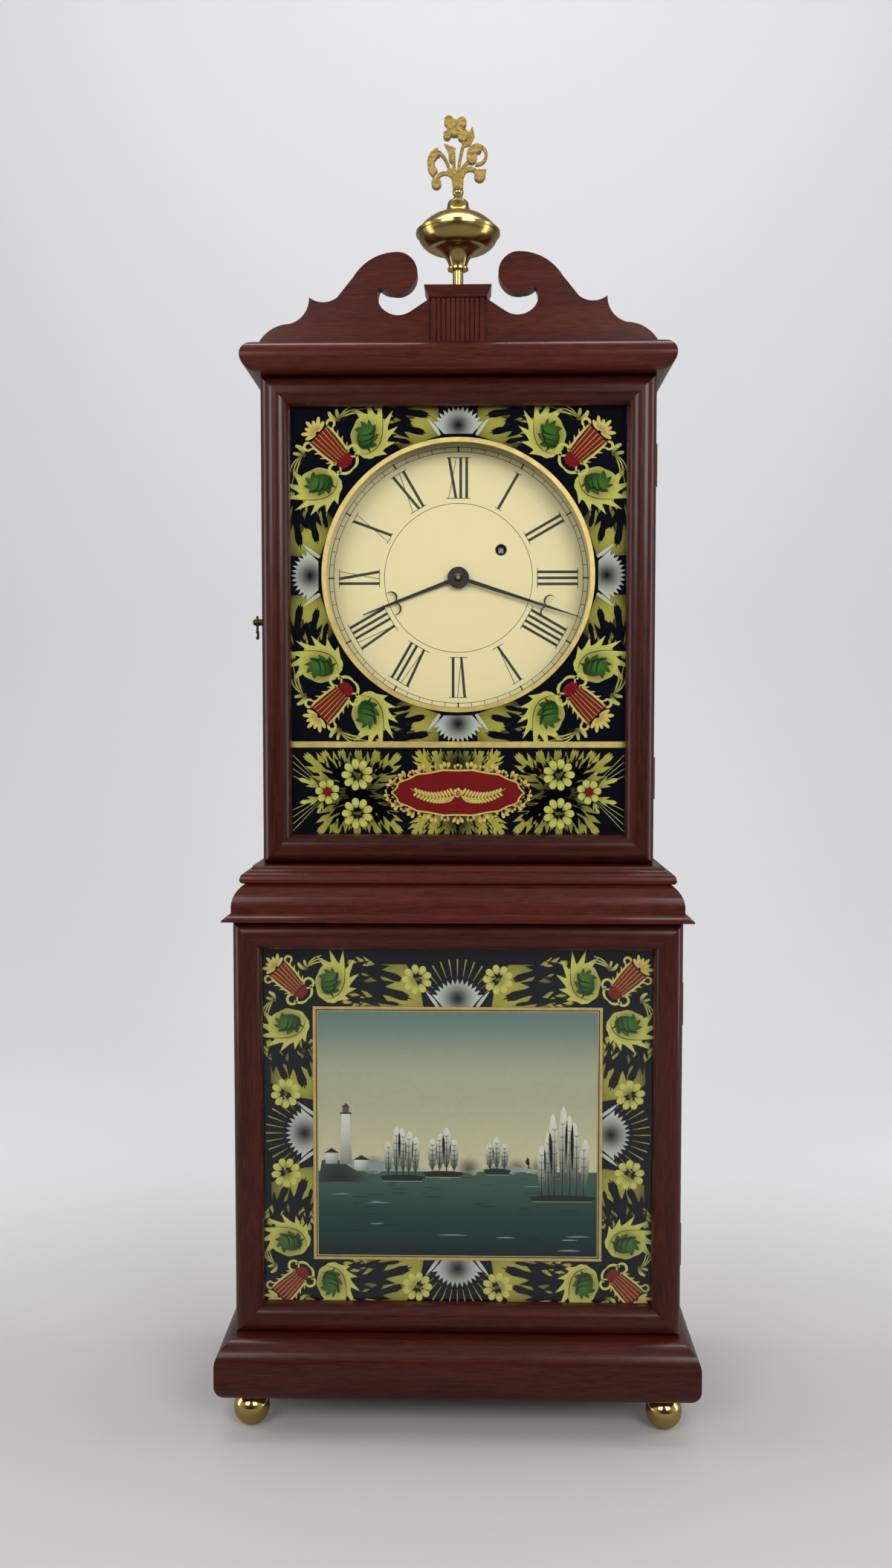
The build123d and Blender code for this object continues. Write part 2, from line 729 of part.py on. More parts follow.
def stem_outline(points, width):
    """A flat stem of even width that follows an arc through three points."""
    with BuildSketch() as outline:
        with BuildLine() as line:
            ThreePointArc(*points)
        trace(line.line, line_width=width)
    return outline.sketch


spray_base = lid_top
with BuildPart() as finial_spray:
    with BuildSketch(facing(0, scroll_y + spray_thickness / 2, spray_base)):
        with BuildLine():
            Polyline((-3.5, 0), (3.5, 0), (3.9, 9.5), (6.0, 12.0), (2.2, 13.0), (0, 10.5), (-2.0, 13.5),
                     (-6.5, 13.2), (-8.8, 10.8), (-4.6, 7.0), close=True)
        make_face()
        add(stem_outline(((-5.5, 9.5), (-9.4, 20.5), (-13.4, 25.0)), 2.0))
        add(stem_outline(((-5.5, 9.5), (-9.5, 10.4), (-14.5, 6.8)), 2.4))
        add(stem_outline(((-3.4, 9.0), (-3.0, 19.0), (-5.0, 26.0)), 2.4))
        add(stem_outline(((0.2, 9.0), (1.6, 21.0), (5.0, 33.0)), 2.2))
        add(stem_outline(((8.6, 27.0), (19.4, 22.4), (12.0, 16.2)), 2.0))
        add(stem_outline(((1.5, 8.5), (3.6, 14.0), (8.0, 18.6)), 2.2))
        add(stem_outline(((2.8, 8.0), (7.5, 13.0), (12.8, 10.6)), 2.8))
        with BuildLine():
            Polyline((4.4, 28.0), (8.2, 29.0), (11.5, 35.0), (9.8, 41.5), (7.6, 38.0), (4.0, 36.0), close=True)
        make_face()
        with BuildLine():
            Polyline((-9.6, 30.2), (-1.6, 27.0), (-5.8, 22.5), close=True)
        make_face()
        with BuildLine():
            Polyline((19.6, 12.9), (12.6, 12.0), (18.6, 6.6), close=True)
        make_face()
    extrude(amount=spray_thickness)
    with BuildSketch(facing(0, scroll_y + blossom_thickness / 2, spray_base)):
        add(stem_outline(((-13.2, 24.6), (-18.3, 19.5), (-15.6, 10.2)), 5.0))
        with Locations((-15.0, 3.4)):
            Circle(3.4)
        with Locations((-4.2, 22.6)):
            Ellipse(2.4, 5.2)
        with Locations((-2.4, 40.6)):
            Circle(5.4)
        with Locations((-6.2, spray_height - 3.4)):
            Circle(3.4)
        with Locations((2.6, 44.2)):
            Circle(3.2)
        with Locations((-7.6, 35.8)):
            Circle(2.6)
        with Locations((3.6, 35.6)):
            Circle(3.9)
        with Locations((9.4, 21.8)):
            Ellipse(3.6, 5.2)
        with Locations((13.4, 26.6)):
            Circle(2.9)
        with Locations((14.8, 8.4)):
            Circle(3.8)
    extrude(amount=blossom_thickness)
finial_spray.part.label = "finial_spray"
export_step(finial_spray.part, "parts/finial_spray.step")


def door_stile(half_width, face, low, high, hinge_x, hinge_y, levels):
    """Right and left stiles of a door, mitred at both ends, the right one cut for its hinges."""
    with BuildPart() as stiles:
        section_plane = Plane(origin=(half_width, face + door_thickness, low), x_dir=(-1, 0, 0), z_dir=(0, 0, 1))
        with BuildSketch(section_plane):
            add(door_section())
        extrude(amount=high - low)
        with BuildSketch(facing(0, face, 0)):
            with BuildLine():
                Polyline((half_width, low), (half_width, high), (half_width - door_frame, high - door_frame),
                         (half_width - door_frame, low + door_frame), close=True)
            make_face()
        extrude(amount=-door_thickness, mode=Mode.INTERSECT)
        mirror(about=Plane.YZ)
        for recess in hinge_mortise(hinge_x, hinge_y, levels, -1):
            add(recess, mode=Mode.SUBTRACT)
    return stiles.part


def door_rail(half_width, face, low, high):
    """Top and bottom rails of a door, mitred at both ends."""
    middle = (low + high) / 2
    with BuildPart() as rails:
        section_plane = Plane(origin=(half_width, face + door_thickness, high), x_dir=(0, 0, -1), z_dir=(-1, 0, 0))
        with BuildSketch(section_plane):
            add(door_section())
        extrude(amount=half_width * 2)
        with BuildSketch(facing(0, face, 0)):
            with BuildLine():
                Polyline((-half_width, high), (half_width, high), (half_width - door_frame, high - door_frame),
                         (door_frame - half_width, high - door_frame), close=True)
            make_face()
        extrude(amount=-door_thickness, mode=Mode.INTERSECT)
        mirror(about=Plane.XY.offset(middle))
    return rails.part


def door_glass(half_width, face, low, high):
    """Pane that lies in the rebate against its front shoulder."""
    margin = door_frame - rebate_width + clearance
    front = face + door_thickness - rebate_depth
    with BuildPart() as pane:
        with BuildSketch(facing(0, front, (low + high) / 2)):
            Rectangle(2 * (half_width - margin), high - low - 2 * margin)
        extrude(amount=-glass_thickness)
    return pane.part


def glass_beads(half_width, face, low, high):
    """Four strips that hold the pane in from behind."""
    margin = door_frame - rebate_width + clearance
    front = face + door_thickness - rebate_depth + glass_thickness
    width = 2 * (half_width - margin)
    height = high - low - 2 * margin
    middle = (low + high) / 2
    with BuildPart() as beads:
        for side in (-1, 1):
            with BuildSketch(facing(side * (width - bead_size) / 2, front, middle)):
                Rectangle(bead_size, height)
            extrude(amount=-bead_size)
            with BuildSketch(facing(0, front, middle + side * (height - bead_size) / 2)):
                Rectangle(width - 2 * bead_size - 2 * fit, bead_size)
            extrude(amount=-bead_size)
    return beads.part


def hinge_leaves(axis_x, axis_y, levels, toward, knuckles):
    """Leaves of one side of a door's hinges; knuckles gives the thirds that its barrel fills."""
    third = hinge_length / 3
    plate_y = toward * (door_gap + hinge_leaf_thickness) / 2
    with BuildPart() as leaves:
        for level in levels:
            with BuildSketch(Plane((axis_x, axis_y, level))):
                with Locations((-(hinge_leaf_width + knuckle_room) / 2, plate_y)):
                    Rectangle(hinge_leaf_width - knuckle_room, hinge_leaf_thickness)
            extrude(amount=hinge_length)
            for number in knuckles:
                with BuildSketch(Plane((axis_x, axis_y, level + number * third + fit))):
                    Circle(knuckle_radius)
                    with Locations((-knuckle_room / 2, plate_y)):
                        Rectangle(knuckle_room, hinge_leaf_thickness)
                    Circle(hinge_pin_radius + fit, mode=Mode.SUBTRACT)
                extrude(amount=third - 2 * fit)
    return leaves.part


doors = {
    "upper": (upper_width / 2, upper_face, upper_door_low, upper_door_high,
              upper_hinge_x, upper_hinge_y, upper_hinges),
    "lower": (lower_width / 2, lower_face, lower_door_low, lower_door_high,
              lower_hinge_x, lower_hinge_y, lower_hinges),
}
for door, (half, face, low, high, hinge_x, hinge_y, levels) in doors.items():
    with BuildPart() as door_stiles:
        add(door_stile(half, face, low, high, hinge_x, hinge_y, levels))
        if door == "upper":
            with BuildSketch(Plane((-half, hook_pivot_y, hook_z), x_dir=(0, 1, 0), z_dir=(-1, 0, 0))):
                Circle(screw_radius + fit)
            extrude(amount=-door_frame / 2, mode=Mode.SUBTRACT)
    door_stiles.part.label = f"{door}_door_stiles"
    export_step(door_stiles.part, f"parts/{door}_door_stiles.step")

    with BuildPart() as door_rails:
        add(door_rail(half, face, low, high))
    door_rails.part.label = f"{door}_door_rails"
    export_step(door_rails.part, f"parts/{door}_door_rails.step")

    with BuildPart() as pane:
        add(door_glass(half, face, low, high))
    pane.part.label = f"{door}_door_glass"
    export_step(pane.part, f"parts/{door}_door_glass.step")

    with BuildPart() as beads:
        add(glass_beads(half, face, low, high))
    beads.part.label = f"{door}_glass_beads"
    export_step(beads.part, f"parts/{door}_glass_beads.step")

    with BuildPart() as door_leaves:
        add(hinge_leaves(hinge_x, hinge_y, levels, -1, (1,)))
    door_leaves.part.label = f"{door}_hinge_leaves"
    export_step(door_leaves.part, f"parts/{door}_hinge_leaves.step")

with BuildPart() as case_hinges:
    add(hinge_leaves(upper_hinge_x, upper_hinge_y, upper_hinges, 1, (0, 2)))
    add(hinge_leaves(lower_hinge_x, lower_hinge_y, lower_hinges, 1, (0, 2)))
    for axis_x, axis_y, levels in ((upper_hinge_x, upper_hinge_y, upper_hinges),
                                   (lower_hinge_x, lower_hinge_y, lower_hinges)):
        for level in levels:
            with BuildSketch(Plane((axis_x, axis_y, level))):
                Circle(hinge_pin_radius)
            extrude(amount=hinge_length)
case_hinges.part.label = "case_hinges"
export_step(case_hinges.part, "parts/case_hinges.step")

# Side hook: hangs from a screw in the door's edge and drops over a pin in the case
side_x = -upper_width / 2
hook_x = side_x - hook_stand_off
head_x = hook_x - hook_thickness - fit


def side_plane(x, y, z):
    """Plane on the left side: local x to the front, local y up, extruding outward."""
    return Plane(origin=(x, y, z), x_dir=(0, -1, 0), z_dir=(-1, 0, 0))


with BuildPart() as hook_screw:
    with BuildSketch(side_plane(head_x, hook_pivot_y, hook_z)):
        Circle(screw_head_radius)
    extrude(amount=screw_head_height)
    fillet(hook_screw.faces().sort_by(Axis.X)[0].edges(), screw_head_height * 0.7)
    with BuildSketch(side_plane(head_x, hook_pivot_y, hook_z)):
        Circle(screw_radius)
    extrude(amount=head_x - side_x - door_frame / 2 + 1)
    with BuildSketch(side_plane(side_x, hook_pivot_y, hook_z)):
        Circle(screw_head_radius)
    extrude(amount=hook_stand_off - fit)
hook_screw.part.label = "hook_screw"
export_step(hook_screw.part, "parts/hook_screw.step")

with BuildPart() as latch_hook:
    with BuildSketch(side_plane(hook_x, hook_pivot_y, hook_z)):
        Circle(hook_eye_radius)
        with Locations((0, hook_eye_radius)):
            Rectangle(hook_wire, hook_eye_radius)
        with Locations((0.3, -hook_reach / 2)):
            Rectangle(hook_wire, hook_reach)
        with Locations((0, -hook_reach)):
            Circle(catch_pin_radius + hook_wire)
            Circle(catch_pin_radius + clearance, mode=Mode.SUBTRACT)
            with Locations((hook_wire, 0)):
                Rectangle(2 * hook_wire, 2 * (catch_pin_radius + clearance), mode=Mode.SUBTRACT)
        Circle(screw_radius + fit, mode=Mode.SUBTRACT)
    extrude(amount=hook_thickness)
latch_hook.part.label = "latch_hook"
export_step(latch_hook.part, "parts/latch_hook.step")

with BuildPart() as catch_pin:
    with BuildSketch(side_plane(side_x, catch_y, hook_z)):
        Circle(catch_pin_radius)
    extrude(amount=hook_stand_off + hook_thickness)
    with BuildSketch(side_plane(side_x, catch_y, hook_z)):
        Circle(catch_pin_radius)
    extrude(amount=1 - side_thickness / 2)
catch_pin.part.label = "catch_pin"
export_step(catch_pin.part, "parts/catch_pin.step")

# Dial: a round iron plate on four feet riveted to its back
dial_y = -dial_front
foot_spots = [(x, z + shift) for (x, z), shift in
              zip(pillar_places, (2 * pillar_inset, -2 * pillar_inset) * 2)]
with BuildPart() as dial:
    with BuildSketch(facing(0, dial_y, centre_z)):
        Circle(dial_radius)
        Circle(dial_hole_radius, mode=Mode.SUBTRACT)
        with Locations((drum_x, drum_z)):
            Circle(winding_hole_radius, mode=Mode.SUBTRACT)
    extrude(amount=-dial_thickness)
    with BuildSketch(facing(0, dial_y + dial_thickness, 0)):
        with Locations(*foot_spots):
            Circle(dial_foot_radius)
    extrude(amount=-(plate_front - dial_y - dial_thickness))
    with BuildSketch(facing(0, plate_front, 0)):
        with Locations(*foot_spots):
            Circle(dial_foot_radius / 2)
    extrude(amount=-plate_thickness)
dial.part.label = "dial"
export_step(dial.part, "parts/dial.step")

# Movement plates, pillars and posts
bridge_spots = [(-16.0, verge_place[1] + 12.0), (16.0, verge_place[1] + 12.0)]
drum_y = plate_front + plate_thickness + 7.5
stud_end = 1.0
with BuildPart() as front_plate:
    with BuildSketch(facing(plate_middle[0], plate_front, plate_middle[1])):
        RectangleRounded(plate_left + plate_right, plate_low + plate_high, pillar_radius)
    extrude(amount=-plate_thickness)
    with BuildSketch(facing(0, plate_front, 0)):
        with Locations(*pillar_places):
            Circle(tenon_radius + fit)
        with Locations(*foot_spots):
            Circle(dial_foot_radius / 2 + fit)
        with Locations(*bridge_spots):
            Circle(tenon_radius / 2 + fit)
        with Locations(third_place, escape_place):
            Circle(pivot_radius + fit)
        with Locations((0, centre_z)):
            Circle(arbor_radius + fit)
        with Locations(drum_place, verge_place):
            Circle(drum_arbor_radius + fit)
    extrude(amount=-plate_thickness, mode=Mode.SUBTRACT)
    with BuildSketch(facing(minute_place[0], plate_front, minute_place[1])):
        Circle(arbor_radius)
    extrude(amount=plate_front - stud_end)
front_plate.part.label = "front_plate"
export_step(front_plate.part, "parts/front_plate.step")

with BuildPart() as back_plate:
    with BuildSketch(facing(plate_middle[0], movement_back, plate_middle[1])):
        RectangleRounded(plate_left + plate_right, plate_low + plate_high, pillar_radius)
    extrude(amount=-plate_thickness)
    with BuildSketch(facing(0, movement_back, 0)):
        with Locations(*pillar_places):
            Circle(tenon_radius + fit)
        with Locations(third_place, escape_place, verge_place, (0, centre_z)):
            Circle(pivot_radius + fit)
        with Locations(drum_place):
            Circle(drum_arbor_radius / 2 + fit)
    extrude(amount=-plate_thickness, mode=Mode.SUBTRACT)
back_plate.part.label = "back_plate"
export_step(back_plate.part, "parts/back_plate.step")

cord_spot = (drum_x - drum_radius - cord_gap - cord_radius + 2 * (pulley_radius + cord_gap + cord_radius),
             centre_z - plate_low + pillar_inset + 4.0)
between = plate_front + plate_thickness
with BuildPart() as movement_pillars:
    with BuildSketch(facing(0, between, 0)):
        with Locations(*pillar_places):
            Circle(pillar_radius)
    extrude(amount=-plate_space)
    with BuildSketch(facing(0, plate_front, 0)):
        with Locations(*pillar_places):
            Circle(tenon_radius)
    extrude(amount=-(backboard_front + backboard_thickness / 2 - 1 - plate_front))
    with BuildSketch(facing(0, movement_back + plate_thickness, 0)):
        with Locations(*pillar_places):
            Circle(pillar_radius)
    extrude(amount=-(backboard_front - movement_back - plate_thickness))
    with BuildSketch(facing(cord_spot[0], between, cord_spot[1])):
        Rectangle(pillar_radius, pillar_radius)
        Circle(cord_radius / 2, mode=Mode.SUBTRACT)
    extrude(amount=-plate_space)
movement_pillars.part.label = "movement_pillars"
export_step(movement_pillars.part, "parts/movement_pillars.step")

# Wheels of the train
great_distance = hypot(drum_x, drum_z)
great_module = 2 * great_distance / (great_teeth + centre_pinion_teeth)
third_distance = hypot(third_x, third_z)
centre_module = 2 * third_distance / (centre_teeth + third_pinion_teeth)
escape_distance = hypot(escape_x - third_x, escape_z - third_z)
third_module = 2 * escape_distance / (third_teeth + escape_pinion_teeth)
cannon_module = 2 * motion_distance / (cannon_teeth + minute_teeth)
hour_module = 2 * motion_distance / (minute_pinion_teeth + hour_teeth)
great_y = between + 2.5
third_wheel_y = between + 11.5
centre_wheel_y = between + 27.5
escape_wheel_y = between + 20.5
wheel_teeth = (0.45, 1.0, 0.50, 0.22)
pinion_teeth = (0.40, 1.1, 0.36, 0.16)


def mesh_start(teeth, line_angle, gap):
    """Angle of the first tooth so that a tooth, or a gap, lies on the line to the next arbor."""
    return line_angle + (180 / teeth if gap else 0.0)


def angle_between(start, end):
    """Angle of the line from one arbor to another, seen from the front."""
    return degrees(atan2(end[1] - start[1], end[0] - start[0]))


centre_place = (0, centre_z)
great_to_centre = angle_between(drum_place, centre_place)
centre_to_third = angle_between(centre_place, third_place)
third_to_escape = angle_between(third_place, escape_place)
centre_to_minute = angle_between(centre_place, minute_place)


def spoked_wheel(outline, root, hub, arms=4):
    """A wheel blank with its crossings cut out between the arms."""
    rim = root * 0.11 + 1.0
    with BuildSketch() as wheel:
        add(outline)
        with PolarLocations(0, arms):
            add(crossing(hub, root - rim, root * 0.13, arms), mode=Mode.SUBTRACT)
    return wheel.sketch


with BuildPart() as great_wheel:
    with BuildSketch(facing(drum_x, great_y, drum_place[1])):
        add(spoked_wheel(gear(great_teeth, great_module, *wheel_teeth, mesh_start(great_teeth, great_to_centre, False)),
                         great_module * great_teeth / 2 - great_module, ratchet_radius + 6, 5))
        Circle(drum_arbor_radius + fit, mode=Mode.SUBTRACT)
    extrude(amount=-great_thickness)
great_wheel.part.label = "great_wheel"
export_step(great_wheel.part, "parts/great_wheel.step")

click_radius = ratchet_radius + clearance
with BuildPart() as ratchet_click:
    with BuildSketch(facing(drum_x, great_y + great_thickness, drum_place[1])):
        with BuildLine():
            ThreePointArc((click_radius, 0.0), (click_radius * cos(0.25), click_radius * sin(0.25)),
                          (click_radius * cos(0.5), click_radius * sin(0.5)))
            Polyline((click_radius * cos(0.5), click_radius * sin(0.5)),
                     ((click_radius + 4.5) * cos(0.62), (click_radius + 4.5) * sin(0.62)),
                     ((click_radius + 4.5) * cos(0.3), (click_radius + 4.5) * sin(0.3)),
                     (click_radius, 0.0))
        make_face()
        with Locations(((click_radius + 2.6) * cos(0.5), (click_radius + 2.6) * sin(0.5))):
            Circle(2.0)
    extrude(amount=-wheel_thickness)
ratchet_click.part.label = "ratchet_click"
export_step(ratchet_click.part, "parts/ratchet_click.step")

square_half = drum_arbor_radius * 0.62
square_end = dial_y + 4.0
with BuildPart() as winding_drum:
    with BuildSketch(facing(drum_x, drum_y, drum_place[1])):
        Circle(drum_radius)
    extrude(amount=-drum_length)
    for flange_y in (drum_y, drum_y + drum_length - wheel_thickness):
        with BuildSketch(facing(drum_x, flange_y, drum_place[1])):
            Circle(drum_flange_radius)
        extrude(amount=-wheel_thickness)
    with BuildSketch(facing(drum_x, great_y + great_thickness + clearance / 2, drum_place[1])):
        add(saw_wheel(ratchet_teeth, ratchet_radius, 2.0, 0.86))
    extrude(amount=-wheel_thickness)
    with BuildSketch(facing(drum_x, square_end + 9, drum_place[1])):
        Circle(drum_arbor_radius)
    extrude(amount=-(drum_y - square_end - 9))
    with BuildSketch(facing(drum_x, square_end, drum_place[1])):
        Rectangle(2 * square_half, 2 * square_half)
    extrude(amount=-9)
    with BuildSketch(facing(drum_x, drum_y + drum_length, drum_place[1])):
        Circle(drum_arbor_radius / 2)
    extrude(amount=-(movement_back + plate_thickness - drum_y - drum_length))
    with BuildSketch(facing(drum_x, drum_y + drum_length, drum_place[1])):
        Circle(drum_arbor_radius)
    extrude(amount=-(movement_back - clearance - drum_y - drum_length))
winding_drum.part.label = "winding_drum"
export_step(winding_drum.part, "parts/winding_drum.step")

pinion_length = 6.0
hand_tip = dial_y - 8.0
with BuildPart() as centre_wheel:
    with BuildSketch(facing(0, between + 1.0, centre_z)):
        add(gear(centre_pinion_teeth, great_module, *pinion_teeth,
                 mesh_start(centre_pinion_teeth, great_to_centre + 180, True)))
    extrude(amount=-pinion_length)
    with BuildSketch(facing(0, centre_wheel_y, centre_z)):
        add(spoked_wheel(gear(centre_teeth, centre_module, *wheel_teeth,
                              mesh_start(centre_teeth, centre_to_third, False)),
                         centre_module * centre_teeth / 2 - centre_module, 5.0))
    extrude(amount=-wheel_thickness)
    with BuildSketch(facing(0, hand_tip, centre_z)):
        Circle(arbor_radius)
    extrude(amount=-(movement_back - clearance - hand_tip))
    with BuildSketch(facing(0, movement_back - clearance, centre_z)):
        Circle(pivot_radius)
    extrude(amount=-(plate_thickness + clearance))
centre_wheel.part.label = "centre_wheel"
export_step(centre_wheel.part, "parts/centre_wheel.step")

with BuildPart() as third_wheel:
    with BuildSketch(facing(third_x, third_wheel_y, third_place[1])):
        add(spoked_wheel(gear(third_teeth, third_module, *wheel_teeth,
                              mesh_start(third_teeth, third_to_escape, False)),
                         third_module * third_teeth / 2 - third_module, 4.5))
    extrude(amount=-wheel_thickness)
    with BuildSketch(facing(third_x, centre_wheel_y - 2.0, third_place[1])):
        add(gear(third_pinion_teeth, centre_module, *pinion_teeth,
                 mesh_start(third_pinion_teeth, centre_to_third + 180, True)))
    extrude(amount=-pinion_length)
    with BuildSketch(facing(third_x, between + clearance, third_place[1])):
        Circle(arbor_radius)
    extrude(amount=-(plate_space - 2 * clearance))
    with BuildSketch(facing(third_x, plate_front, third_place[1])):
        Circle(pivot_radius)
    extrude(amount=-(plate_space + 2 * plate_thickness))
third_wheel.part.label = "third_wheel"
export_step(third_wheel.part, "parts/third_wheel.step")

with BuildPart() as escape_wheel:
    with BuildSketch(facing(escape_x, escape_wheel_y, escape_place[1])):
        add(spoked_wheel(saw_wheel(escape_teeth, escape_radius, 2.4, 0.78),
                         escape_radius - 2.4, 4.0))
    extrude(amount=-wheel_thickness)
    with BuildSketch(facing(escape_x, third_wheel_y - 2.0, escape_place[1])):
        add(gear(escape_pinion_teeth, third_module, *pinion_teeth,
                 mesh_start(escape_pinion_teeth, third_to_escape + 180, True)))
    extrude(amount=-pinion_length)
    with BuildSketch(facing(escape_x, between + clearance, escape_place[1])):
        Circle(arbor_radius)
    extrude(amount=-(plate_space - 2 * clearance))
    with BuildSketch(facing(escape_x, plate_front, escape_place[1])):
        Circle(pivot_radius)
    extrude(amount=-(plate_space + 2 * plate_thickness))
escape_wheel.part.label = "escape_wheel"
export_step(escape_wheel.part, "parts/escape_wheel.step")

# Verge: a bent strip with two pallets that clear the tooth circle, on the same axis as the pendulum
verge_distance = hypot(escape_x, verge_z - escape_z)
verge_angle = angle_between(verge_place, escape_place)
pallet_reach = sqrt(verge_distance**2 - escape_radius**2)
pallet_half = degrees(atan2(escape_radius, pallet_reach))
pallet_clear = 1.6
strip_radius = escape_radius + pallet_clear
pallet_turn = degrees(atan2(pallet_reach, escape_radius))
bridge_y = 0.0
crutch_y = 4.0
crutch_length = 30.0
with BuildPart() as verge:
    with BuildSketch(facing(escape_x, escape_wheel_y - 0.25, escape_place[1])):
        outward = verge_angle + 180
        with BuildLine():
            CenterArc((0, 0), strip_radius, outward - pallet_turn, 2 * pallet_turn)
            CenterArc((0, 0), strip_radius + 2.0, outward - pallet_turn, 2 * pallet_turn)
            for turn in (radians(outward - pallet_turn), radians(outward + pallet_turn)):
                Line((strip_radius * cos(turn), strip_radius * sin(turn)),
                     ((strip_radius + 2.0) * cos(turn), (strip_radius + 2.0) * sin(turn)))
        make_face()
    extrude(amount=-(wheel_thickness + 0.5))
    with BuildSketch(facing(0, escape_wheel_y - 0.25, verge_place[1])):
        Circle(3.2)
        with Locations(Rotation(0, 0, verge_angle)):
            with Locations(((verge_distance - strip_radius - 1) / 2, 0)):
                Rectangle(verge_distance - strip_radius - 1, 3.0)
    extrude(amount=-(wheel_thickness + 0.5))
    with BuildSketch(facing(0, bridge_y + clearance + 2.0, verge_place[1])):
        Circle(arbor_radius)
    extrude(amount=-(movement_back - clearance - bridge_y - clearance - 2.0))
    with BuildSketch(facing(0, bridge_y, verge_place[1])):
        Circle(pivot_radius)
    extrude(amount=-(movement_back + plate_thickness - bridge_y))
    with BuildSketch(facing(0, crutch_y, verge_place[1])):
        Circle(3.0)
        with Locations((0, -crutch_length / 2)):
            Rectangle(3.0, crutch_length)
        with Locations((0, -crutch_length)):
            Rectangle(rod_width + 2 * clearance + 3.0, 3.0)
    extrude(amount=-1.5)
    for side in (-1, 1):
        prong_x = side * (rod_width / 2 + clearance + 0.75)
        with BuildSketch(facing(prong_x, -pendulum_plane - rod_thickness, verge_place[1] - crutch_length)):
            Rectangle(1.5, 3.0)
        extrude(amount=-(crutch_y + pendulum_plane + rod_thickness))
verge.part.label = "verge"
export_step(verge.part, "parts/verge.step")

# Bridge: two posts and a cross bar in front of the plate that carry the verge's front pivot and the pendulum
spring_top = verge_place[1] + 6.0
bar_low = bridge_spots[0][1] - 5.0
bar_high = bridge_spots[0][1] + 5.0
spring_width = 4.0
spring_thickness = 0.3
spring_slot = 1.5
with BuildPart() as pendulum_bridge:
    with BuildSketch(facing(0, plate_front, 0)):
        with Locations(*bridge_spots):
            Circle(tenon_radius + 0.5)
    extrude(amount=plate_front - bridge_y - 2.0)
    with BuildSketch(facing(0, plate_front, 0)):
        with Locations(*bridge_spots):
            Circle(tenon_radius / 2)
    extrude(amount=-plate_thickness)
    with BuildSketch(facing(0, bridge_y + 2.0, 0)):
        with Locations((0, bridge_spots[0][1])):
            RectangleRounded(2 * bridge_spots[1][0] + 10.0, 10.0, 3.0)
        with Locations((0, (bar_low + verge_place[1]) / 2 - 1.0)):
            Rectangle(7.0, bar_low - verge_place[1] + 5.0)
        with Locations(verge_place):
            Circle(pivot_radius + fit, mode=Mode.SUBTRACT)
    extrude(amount=2.0)
    with BuildSketch(facing(0, bridge_y, (spring_top - 3.0 + bar_high) / 2)):
        Rectangle(9.0, bar_high - spring_top + 3.0)
    extrude(amount=2 * pendulum_plane)
    with BuildSketch(facing(0, bridge_y, spring_top - 3.0)):
        with Locations((0, 2.0)):
            Rectangle(spring_slot, 5.0)
    extrude(amount=2 * pendulum_plane, mode=Mode.SUBTRACT)
pendulum_bridge.part.label = "pendulum_bridge"
export_step(pendulum_bridge.part, "parts/pendulum_bridge.step")

# Pendulum: spring, flat rod with a ring round the hand arbor, bob and rating nut
bob_z = verge_place[1] - pendulum_length
bob_flat = bob_radius * 0.99
dome_rise = bob_thickness / 2 - bob_edge / 2
dome_radius = (bob_radius**2 + dome_rise**2) / (2 * dome_rise)
nut_top = bob_z - bob_flat
rod_low = nut_top - nut_height - rod_below_nut
rod_top = verge_place[1] - 4.0
flat_end = bob_z + bob_radius + 12.0
ring_outer = ring_radius + ring_width
with BuildPart() as pendulum_rod:
    with BuildSketch(facing(0, -pendulum_plane + rod_thickness / 2, 0)):
        with Locations((0, (rod_top + flat_end) / 2)):
            Rectangle(rod_width, rod_top - flat_end)
        with Locations((0, centre_z)):
            Circle(ring_outer)
            Circle(ring_radius, mode=Mode.SUBTRACT)
    extrude(amount=rod_thickness)
    with BuildSketch(Plane((0, -pendulum_plane, flat_end + 2.0), z_dir=(0, 0, -1))):
        Circle(arbor_radius)
    extrude(amount=flat_end + 2.0 - rod_low)
    with BuildSketch(facing(0, -pendulum_plane + spring_width / 2, (spring_top + rod_top) / 2)):
        Rectangle(spring_thickness, spring_top - rod_top + 1.0)
    extrude(amount=spring_width)
    with BuildSketch(facing(0, -pendulum_plane + spring_width / 2, rod_top - 2.0)):
        Rectangle(rod_width + 2.0, 6.0)
    extrude(amount=spring_width)
pendulum_rod.part.label = "pendulum_rod"
export_step(pendulum_rod.part, "parts/pendulum_rod.step")

with BuildPart() as pendulum_bob:
    with BuildSketch(facing(0, -pendulum_plane - bob_thickness / 2, bob_z)):
        Circle(bob_radius)
    extrude(amount=-bob_thickness)
    for side in (-1, 1):
        with Locations((0, side * (bob_thickness / 2 - dome_radius) - pendulum_plane, bob_z)):
            Sphere(dome_radius, mode=Mode.INTERSECT)
    with BuildSketch(Plane((0, -pendulum_plane, bob_z - bob_flat), z_dir=(0, 0, 1))):
        Circle(arbor_radius + fit)
    extrude(amount=2 * bob_radius + 2, mode=Mode.SUBTRACT)
    with BuildSketch(Plane((0, -pendulum_plane, bob_z - bob_flat), z_dir=(0, 0, -1))):
        Circle(bob_radius)
    extrude(amount=bob_radius, mode=Mode.SUBTRACT)
pendulum_bob.part.label = "pendulum_bob"
export_step(pendulum_bob.part, "parts/pendulum_bob.step")

with BuildPart() as rating_nut:
    with BuildSketch(Plane((0, -pendulum_plane, nut_top), z_dir=(0, 0, -1))):
        add(gear(20, nut_radius / 10, 0.0, 0.8, 0.7, 0.4))
        Circle(arbor_radius + fit, mode=Mode.SUBTRACT)
    extrude(amount=nut_height)
rating_nut.part.label = "rating_nut"
export_step(rating_nut.part, "parts/rating_nut.step")

